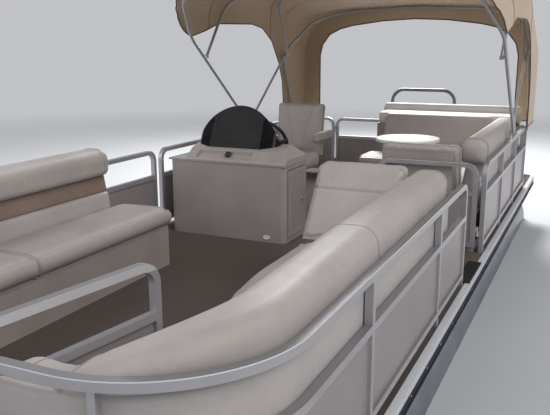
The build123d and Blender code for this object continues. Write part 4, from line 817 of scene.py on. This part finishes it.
# %% [markdown]
# ## Backs that lean: chaise, forward back and helm chair
#
# These are compact, stuffed and only sewn at their edges, so they bulge between their seams. Sculpting
# could give that, but cloth gives it by itself: a slightly smaller solid is remeshed evenly, blown up a
# little as cloth with no gravity, and stopped before it has moved far. Each point keeps its direction of
# travel but not more than the cap.


# %% Blown-up pads
PAD_IN = 0.006  # how much smaller than the pad the solid starts
TRAVEL_CAP = 0.012  # how far the cloth may move
PRESSURE, FRAMES = 4.0, 20


def slab(near, far, width, corner, centre_y):
    """Rings of a leaning slab: at each height fraction its near and far face come from two (x, height)
    lines, and its half width loses corner = (width, height fraction) along a quarter of an ellipse."""
    t = stations(1.0, 1.0 / 40, 0.06)
    front, rear = (pick(np.array(line), np.linspace(0, 1, len(line)), t) for line in (near, far))
    from_end = np.clip((1 - t) / corner[1], 0, 1)
    half = width / 2 - corner[0] * (1 - np.sqrt(np.maximum(1 - (1 - from_end) ** 2, 0)))
    turn = np.linspace(0, 2 * np.pi, 72, endpoint=False)
    u = np.sign(np.cos(turn)) * np.abs(np.cos(turn)) ** 0.35
    v = np.sign(np.sin(turn)) * np.abs(np.sin(turn)) ** 0.35
    middle, depth = (front + rear) / 2, (front - rear) / 2
    x, z = (middle[:, k:k + 1] + depth[:, k:k + 1] * u for k in (0, 1))
    return on_deck(together(x, centre_y + half[:, None] * v, z))


# %% Cloth under pressure
def read_points(mesh, what="co"):
    """The places or the normals of a mesh's points, as rows of three."""
    values = np.empty(len(mesh.vertices) * 3)
    mesh.vertices.foreach_get(what, values)
    return values.reshape(-1, 3)


def move_points(made, spots):
    """Puts a piece's points in new places and keeps it smooth."""
    made.data.vertices.foreach_set("co", spots.ravel())
    made.data.update()
    made.data.shade_smooth()


def blown_up(name, rings, body, solid, voxel):
    """Remeshes a skin evenly, moves it in a little, blows it up as cloth and caps the travel."""
    made = piece(name, [lofted(rings)], VINYL, body, [solid])
    remesh = made.modifiers.new("even", "REMESH")
    remesh.mode = "VOXEL"
    remesh.voxel_size = voxel
    bake_modifiers(made)
    normals = read_points(made.data, "normal")
    start = read_points(made.data) - PAD_IN * normals
    made.data.vertices.foreach_set("co", start.ravel())
    cloth = made.modifiers.new("blow", "CLOTH")
    cloth.settings.use_pressure = True
    cloth.settings.uniform_pressure_force = PRESSURE
    cloth.settings.effector_weights.gravity = 0.0
    cloth.settings.quality = 4
    for frame_number in range(1, FRAMES + 1):
        bpy.context.scene.frame_set(frame_number)
    moved = read_points(made.evaluated_get(bpy.context.evaluated_depsgraph_get()).data)
    made.modifiers.remove(cloth)
    bpy.context.scene.frame_set(1)
    travel = moved - start
    length = np.linalg.norm(travel, axis=1, keepdims=True)
    move_points(made, start + travel * np.minimum(1, TRAVEL_CAP / np.maximum(length, 1e-9)))
    print(name, len(start), "points, largest travel", round(float(length.max()) * 1000, 1), "mm")
    return made


def bake_modifiers(thing):
    """Turns what the modifiers show into the piece's own mesh."""
    seen = thing.evaluated_get(bpy.context.evaluated_depsgraph_get())
    mesh = bpy.data.meshes.new_from_object(seen)
    thing.modifiers.clear()
    thing.data = mesh


# %% Seams and the line of a piping
def sewn(made, distance, depth, width):
    """Pulls a pad in along a seam: each point moves in by depth * exp(-(distance / width)^2), where
    distance comes from its place on the deck and its normal. One subdivision then smooths the pad."""
    spots, normals = read_points(made.data), read_points(made.data, "normal")
    away = distance(spots - on_deck([0, 0, 0]), normals)
    move_points(made, spots - normals * (depth * np.exp(-(away / width) ** 2))[:, None])
    smooth = made.modifiers.new("smooth", "SUBSURF")
    smooth.levels = 1
    smooth.render_levels = 1


def rounded_frame(low, high, half_width, corner, x_low, x_high, centre_y):
    """Deck points up one edge of a leaning pad, round its two top corners and down the other edge."""
    turn = np.linspace(0, np.pi / 2, 8)
    up = np.linspace(low, high - corner, 14)
    y = np.concatenate([np.full(14, half_width), half_width - corner + corner * np.cos(turn[1:])])
    z = np.concatenate([up, high - corner + corner * np.sin(turn[1:])])
    y, z = np.concatenate([y, -y[::-1]]), np.concatenate([z, z[::-1]])
    return np.stack([x_low + (x_high - x_low) * (z - low) / (high - low), centre_y + y, z], axis=1)


CHAISE_Y, FORWARD_Y, CHAIR_Y = 0.739, 0.7605, -0.490  # middle line of each pad


def level_seam(facing, height):
    """Distance to a level seam on the face that looks forwards, 1, or aft, -1."""
    return lambda spot, normal: np.where(facing * normal[:, 0] > 0.2, spot[:, 2] - height, 1.0)


def chair_back_seams(spot, normal):
    """Distance to two seams on the front face, 130 mm from the middle at the top and 25 mm at the bottom."""
    apart = 0.025 + 0.105 * np.clip((spot[:, 2] - 0.50) / 0.44, 0, 1)
    return np.where(normal[:, 0] > 0.2, np.abs(spot[:, 1] - CHAIR_Y) - apart, 1.0)


def chair_seat_seams(spot, normal):
    """Distance to two seams on the top face, 150 mm from the middle."""
    return np.where(normal[:, 2] > 0.2, np.abs(spot[:, 1] - CHAIR_Y) - 0.150, 1.0)


# %% The three backs and the chair's seat
BACKS = [  # name, body, solid, sizes of the slab, voxel, seam with its depth and width, edge with the piping
    ("chaise_back", "boat", "port_bow_chaise_back",
     ([(0.996, 0.389), (0.712, 0.780)], [(0.880, 0.389), (0.594, 0.788)], 0.540, (0.04, 0.08), CHAISE_Y),
     0.0065, (level_seam(1, 0.655), 0.008, 0.008), (0.41, 0.786, 0.274, 0.045, 1.000, 0.712, CHAISE_Y)),
    ("forward_back", "boat", "stern_lounge_forward_back",
     ([(-0.650, 0.389), (-0.562, 0.752)], [(-0.750, 0.389), (-0.648, 0.756)], 0.610, (0.06, 0.14), FORWARD_Y),
     0.0065, (level_seam(-1, 0.640), 0.008, 0.008), (0.41, 0.762, 0.312, 0.065, -0.640, -0.560, FORWARD_Y)),
    ("chair_back", "chair", "chair_back",
     ([(-1.262, 0.485), (-1.258, 0.570), (-1.318, 0.930), (-1.350, 0.955)],
      [(-1.355, 0.485), (-1.365, 0.600), (-1.405, 0.900), (-1.385, 0.950)], 0.456, (0.05, 0.16), CHAIR_Y),
     0.006, (chair_back_seams, 0.006, 0.007), (0.50, 0.955, 0.236, 0.075, -1.255, -1.330, CHAIR_Y)),
]
for name, body, solid, sizes, voxel, seam, edge in BACKS:
    made = blown_up(f"{name}_skin", slab(*sizes), body, solid, voxel)
    sewn(made, *seam)
    snapped = [made.closest_point_on_mesh(Vector(spot))[1] for spot in on_deck(rounded_frame(*edge))]
    piece(f"{name}_piping", [tube(np.array(snapped), 0.0035, 8, (0.3, 0.2, 1.0))], VINYL_SHADE, body)

CHAIR_SEAT = soft_outline([(-1.250, 0.416, 0.030), (-0.812, 0.416, 0.045), (-0.812, 0.538, 0.050),
                           (-1.250, 0.538, 0.020)], 64)
rings = straight(CHAIR_SEAT, -0.738, -0.242, lambda y, x, height: on_deck(together(x, y, height)), 0.05)
sewn(blown_up("chair_seat_skin", rings, "chair", "chair_seat", 0.006), chair_seat_seams, 0.006, 0.007)

# %% [markdown]
# ## The canvas top
#
# The top is one sheet of canvas stretched over four bows. It is crowned across the boat and sags a little
# between the bows. Its sides hang as skirts whose hems arch up between the legs, and aft it turns down
# behind the rear bow as a valance and two curtains. Cloth could be dropped over the bows, but a real top is
# cut and sewn to this shape, and a grid keeps its hems in place: rows run along the boat, and in each row
# the points are spread along the cross-section from the port hem to the starboard hem.

# %% The canvas
BOWS = {  # X of each bow's crown, then heights over the deck of its bend, corner, shoulder and crown
    "front": (-0.223, 1.500, 1.800, 1.895, 1.930), "second": (-1.130, 1.760, 1.900, 1.960, 1.990),
    "third": (-2.390, 1.855, 1.940, 1.975, 2.000), "rear": (-3.327, 1.420, 1.690, 1.800, 1.840),
}
CANVAS_HALF = 1.2835  # half the width of the canvas at its sides
CANVAS_CORNER, CANVAS_SHOULDER = 1.110, 0.820  # Y of the bows' corner and shoulder
CANVAS_LIFT, CANVAS_THICK = 0.0205, 0.002  # the sheet's height over the middle of a bow's tube
SAG = 0.009  # between two bows
FRONT_EDGE_X, REAR_X = BOWS["front"][0], BOWS["rear"][0]
SIDE_HEM = [  # (x, height) from the aft curtain, by an arch between the legs, up the front leg
    (-3.40, 0.665), (-2.722, 0.665), (-2.690, 1.050), (-2.600, 1.250), (-2.420, 1.485), (-2.200, 1.610),
    (-1.960, 1.645), (-1.290, 1.632), (-1.050, 1.565), (-0.810, 1.515), (-0.700, 1.560),
    (FRONT_EDGE_X, 1.921),
]
REAR_HEM = [  # (y, height) behind the rear bow, up a curtain and then along an arch to its middle
    (1.090, 0.665), (1.090, 1.330), (1.060, 1.450), (0.975, 1.560), (0.850, 1.620), (0.700, 1.655),
    (0.350, 1.700), (0.0, 1.716),
]


def rounded_off(lines):
    """Rows of values, twice averaged over 13 neighbours with a bell's weights to round their corners."""
    kernel = np.hanning(15)[1:-1]
    kernel /= kernel.sum()
    for _ in range(2):
        padded = np.pad(lines, ((0, 0), (6, 6)), mode="reflect", reflect_type="odd")
        lines = sum(k * padded[:, i:i + lines.shape[1]] for i, k in enumerate(kernel))
    return lines


def canopy_section(x):
    """Cross-sections at each x as (rows, 181, 2) of (y, height): heights are blended from bow to bow and sag
    between bows, and the corners are rounded off."""
    table = np.array([BOWS[b] for b in ("rear", "third", "second", "front")])
    heights = [np.interp(x, table[:, 0], table[:, k]) + CANVAS_LIFT for k in range(1, 5)]
    knots_h = np.stack([np.full(len(x), 0.5), *heights], axis=1)
    knots_y = [CANVAS_HALF, CANVAS_HALF, CANVAS_CORNER + CANVAS_LIFT, CANVAS_SHOULDER, 0.0]
    span = np.array([0, 0.50, 0.62, 0.74, 1.0])
    t = np.linspace(0, 1, 91)
    at = np.clip(np.searchsorted(span, t, side="right") - 1, 0, 3)
    part = (t - span[at]) / (span[at + 1] - span[at])
    h = knots_h[:, at] * (1 - part) + knots_h[:, at + 1] * part
    y = np.interp(t, span, knots_y)[None] + 0 * x[:, None]
    y = rounded_off(np.concatenate([y, -y[:, -2::-1]], axis=1))
    h = rounded_off(np.concatenate([h, h[:, -2::-1]], axis=1))
    sag = SAG * np.sin(np.pi * (np.interp(x, table[:, 0], [0, 1, 2, 3]) % 1))[:, None]
    return np.stack([y, h - sag * np.clip((1.25 - np.abs(y)) / 0.3, 0, 1)], axis=-1)


# %% From sections to a sheet
def spread(section, low):
    """Each row's points spread evenly between its two hems: the part of the outline above low."""
    count = section.shape[1]
    out = np.empty_like(section)
    for i, (y, h) in enumerate(section.transpose(0, 2, 1)):
        inside = h >= low[i] - 1e-9
        first, last = inside.argmax(), count - 1 - inside[::-1].argmax()
        cut = np.stack([y, np.maximum(h, low[i])], axis=1)
        length = distances(cut)
        ends = length[max(first - 1, 0)], length[min(last + 1, count - 1)]
        out[i] = pick(cut, length, np.linspace(*ends, count))
    return out


def canopy_grid():
    """Rows from the front edge to the rear bow, then rows down the rear face to its hem."""
    x = np.concatenate([np.linspace(FRONT_EDGE_X, -0.83, 20), np.linspace(-0.83, -2.3, 42)[1:],
                        np.linspace(-2.3, -2.75, 22)[1:], np.linspace(-2.75, REAR_X, 16)[1:]])
    rows = spread(canopy_section(x), np.interp(x, *np.transpose(SIDE_HEM)))
    top = np.concatenate([x[:, None, None] + 0 * rows[..., :1], rows], axis=-1)
    hem = np.array(REAR_HEM)
    hem = np.concatenate([hem, hem[-2::-1] * [-1, 1]])
    length = distances(hem)
    hem = pick(hem, length, np.linspace(0, length[-1], rows.shape[1]))
    down = np.linspace(0, 1, 8)[1:, None, None]
    wall = rows[-1] * (1 - down) + hem * down
    wall_x = REAR_X - 0.004 * np.sin(np.pi * down) + 0 * wall[..., :1]
    return np.concatenate([top, np.concatenate([wall_x, wall], axis=-1)])


def open_sheet(grid):
    """Points and faces of an open grid: quad (i, j) joins row i to i + 1."""
    rows, count = grid.shape[:2]
    index = np.arange(rows * count).reshape(rows, count)
    quads = np.stack([index[:-1, :-1], index[:-1, 1:], index[1:, 1:], index[1:, :-1]], axis=-1)
    return grid.reshape(-1, 3), quads.reshape(-1, 4).tolist()


# %% The sheet itself
grid = canopy_grid()
canopy = piece("canvas_top", [open_sheet(on_deck(grid))], CANVAS, replaces=["bimini_canopy"])
middle_row = int(np.abs(grid[:, 0, 0] + 1.93).argmin())
thick = canopy.modifiers.new("cloth", "SOLIDIFY")
thick.thickness = CANVAS_THICK
thick.offset = 0.0

# %% Hems and seams of the canvas
hem_line = np.concatenate([grid[0], grid[1:, -1], grid[-1, ::-1][1:], grid[::-1, 0][1:]])
bindings = [tube(on_deck(hem_line), 0.0055, 6, (0.3, 0.4, 1.0))]
for bow in ("second", "third"):
    row = int(np.abs(grid[:, 0, 0] - BOWS[bow][0]).argmin())
    bindings.append(tube(on_deck(grid[row]), 0.004, 6, (1.0, 0.0, 0.0)))
hem = piece("canvas_hems", bindings, CANVAS_BINDING)
for cloth_piece in (canopy, hem):
    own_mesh(cloth_piece)

# %% [markdown]
# ## Small fittings
#
# A black ribbed mat lies on the deck's edge where people step aboard through the side gate. The console
# carries an oval drain plate low on its front, a compass in its tray, and three gauges that face the
# driver. The screws along the deck's edge are one mesh. Primitives could be stacked up for these, but each
# is a low turned or extruded form, so a few rings describe it in one skin.


# %% A turned form
def turned(profile, centre, axis, around=28):
    """A surface of revolution: (radius, distance) profile points turned about an axis through centre."""
    axis = unit(np.array(axis, float))
    first = unit(np.cross(axis, [0.0, 0.0, 1.0] if abs(axis[2]) < 0.9 else [1.0, 0.0, 0.0]))
    second = np.cross(axis, first)
    turn = np.linspace(0, 2 * np.pi, around, endpoint=False)
    ring = np.cos(turn)[:, None] * first + np.sin(turn)[:, None] * second
    profile = np.array(profile)
    return lofted(centre + profile[:, :1, None] * ring + profile[:, 1:, None] * axis)


# %% The ribbed mat
MAT_LOW, MAT_TOP, GROOVE = 0.0045, 0.0105, 0.002  # the mat's underside, its top and its grooves' depth
mat_row = np.arange(185)
grooved = (mat_row // 2 % 2) * (mat_row > 1) * (mat_row < 183)
mat_x = np.linspace(-0.260, 0.200, 185)
mat_y = np.array([1.200, 1.286, 1.286, 1.279, 1.207, 1.200])
mat_share = np.array([0.0, 0.0, 1.0, 1.0, 1.0, 1.0])  # 0 on the underside and 1 on top
mat_z = MAT_LOW + mat_share * (MAT_TOP - GROOVE * grooved[:, None] - MAT_LOW)
piece("gate_mat", [lofted(on_deck(together(mat_x[:, None], mat_y, mat_z)))], RUBBER)

# %% Drain plate, compass and gauges
plate = [(0.030, 0.0), (0.030, 0.002), (0.026, 0.004), (0.013, 0.004), (0.011, 0.001)]
points, faces = turned(plate, on_deck([-0.1465, -0.265, 0.036]), (1, 0, 0))
middle = points[:, 2].mean()
points[:, 2] = middle + (points[:, 2] - middle) * 0.55
piece("drain_plate", [(points, faces)], WHITE)

compass = [(0.026, -0.004), (0.026, 0.004), (0.022, 0.006), (0.020, 0.012), (0.012, 0.020), (0.004, 0.023)]
piece("compass", [turned(compass, on_deck([-0.217, -0.618, 0.6325]), (0.43, 0.0, 0.90))], BLACK)

bezels, dials = [], []
for y, r in ((-0.330, 0.030), (-0.490, 0.042), (-0.650, 0.030)):
    centre, face_out = on_deck([-0.516, y, 0.6555]), (-0.66, 0.0, 0.75)
    bezel = [(r, -0.004), (r, 0.005), (r - 0.004, 0.007), (r - 0.006, 0.004)]
    dial = [(r - 0.006, 0.0), (r - 0.006, 0.0045), (0.002, 0.0046)]
    bezels.append(turned(bezel, centre, face_out))
    dials.append(turned(dial, centre, face_out))
piece("gauge_bezels", bezels, STEEL)
piece("gauge_dials", dials, BLACK)

# %% Screws
screw = [(0.0045, -0.002), (0.0045, 0.0006), (0.003, 0.0018), (0.0008, 0.0022)]
ENDS = ((3.550, 1), (-3.950, -1))  # X of the deck's two ends, and which way they face
spots = [(x, side * 1.295, (0, side, 0)) for x in np.arange(-3.75, 3.45, 0.30) for side in (-1, 1)]
spots += [(x, y, (out, 0, 0)) for y in np.arange(-1.05, 1.06, 0.30) for x, out in ENDS]
screws = [turned(screw, on_deck([x, y, -0.050]), out, 8) for x, y, out in spots]
piece("edge_screws", screws, STEEL)
print("screws:", len(screws))

# %% [markdown]
# ## Stage, light and camera
#
# The boat floats, so the floor is at its waterline, and it fades out before its edge can show. Large soft
# lamps keep the shadows open. The camera stands where the photograph was taken: just ahead of the port bow,
# with its eye 1.44 m over the deck. It could be set by eye, but its three directions and its focal length
# were worked out from the lines of the boat, so they are given as numbers.


# %% Floor
mesh = bpy.data.meshes.new("floor")
corners = [(x, y, WATERLINE) for x, y in ((-40, -40), (40, -40), (40, 40), (-40, 40))]
mesh.from_pydata(corners, [], [(0, 1, 2, 3)])
floor = bpy.data.objects.new("floor", mesh)
bpy.context.scene.collection.objects.link(floor)
pale_floor, shader, place = material("pale_floor", {"Roughness": 0.8, "Specular IOR Level": 0.15})
plug(shader, "Base Color", blend(noise(place, 0.8, 2.0), srgb(196, 198, 200), srgb(204, 205, 207)))
distance = place.node("ShaderNodeVectorMath", {"operation": "LENGTH"}, place, out=1)
plug(shader, "Alpha", 1.0 - distance.between(5.5, 17.0))
mesh.materials.append(pale_floor)

# %% Sky and lamps
world = bpy.data.worlds.new("soft_sky")
bpy.context.scene.world = world
world.use_nodes = True
light_path = world.node_tree.nodes.new("ShaderNodeLightPath")
seen_directly = Shade(world.node_tree, light_path.outputs["Is Camera Ray"])
sky = blend(seen_directly, (0.44, 0.45, 0.47), (0.53, 0.54, 0.56))
feed(world.node_tree.nodes["Background"].inputs["Color"], sky)

LAMPS = [  # name, place, what it aims at, size, power, colour
    ("key", (4.5, 7.5, 8.0), (0.5, 0.0, 1.0), 7.0, 450.0, (1.0, 0.98, 0.96)),
    ("fill", (9.0, -6.0, 6.0), (0.5, 0.0, 1.0), 7.0, 220.0, (0.97, 0.99, 1.0)),
    ("rear", (-8.0, -2.0, 6.0), (-2.3, 0.0, 1.4), 4.0, 1100.0, (1.0, 1.0, 1.0)),
]
for name, spot, aim, size, power, colour in LAMPS:
    light = bpy.data.lights.new(name, "AREA")
    light.shape = "DISK"
    light.size = size
    light.energy = power
    light.color = colour
    lamp = bpy.data.objects.new(name, light)
    bpy.context.scene.collection.objects.link(lamp)
    lamp.location = spot
    lamp.rotation_euler = Vector(np.subtract(aim, spot)).to_track_quat("-Z", "Y").to_euler()

# %% Camera
PHOTO_W, FOCAL_PIXELS = 550, 702.7
SENSOR = 36.0
RIGHT, UP, BACK = (-0.4218, 0.9067, -0.0031), (-0.2045, -0.0918, 0.9745), (0.8833, 0.4117, 0.2242)
lens = bpy.data.cameras.new("photo_camera")
lens.sensor_width = SENSOR
lens.lens = FOCAL_PIXELS * SENSOR / PHOTO_W
lens.clip_start = 0.05
lens.clip_end = 200.0
camera = bpy.data.objects.new("photo_camera", lens)
bpy.context.scene.collection.objects.link(camera)
columns = np.stack([RIGHT, UP, BACK], axis=1)
square, _ = np.linalg.qr(columns)  # the same three directions, exactly square to each other
pose = np.eye(4)
pose[:3, :3] = square * np.sign((square * columns).sum(axis=0))
pose[:3, 3] = on_deck([4.430, 1.9396, 1.4352])
camera.matrix_world = Matrix(pose.tolist())
bpy.context.scene.camera = camera
bpy.context.scene.view_settings.view_transform = "Standard"
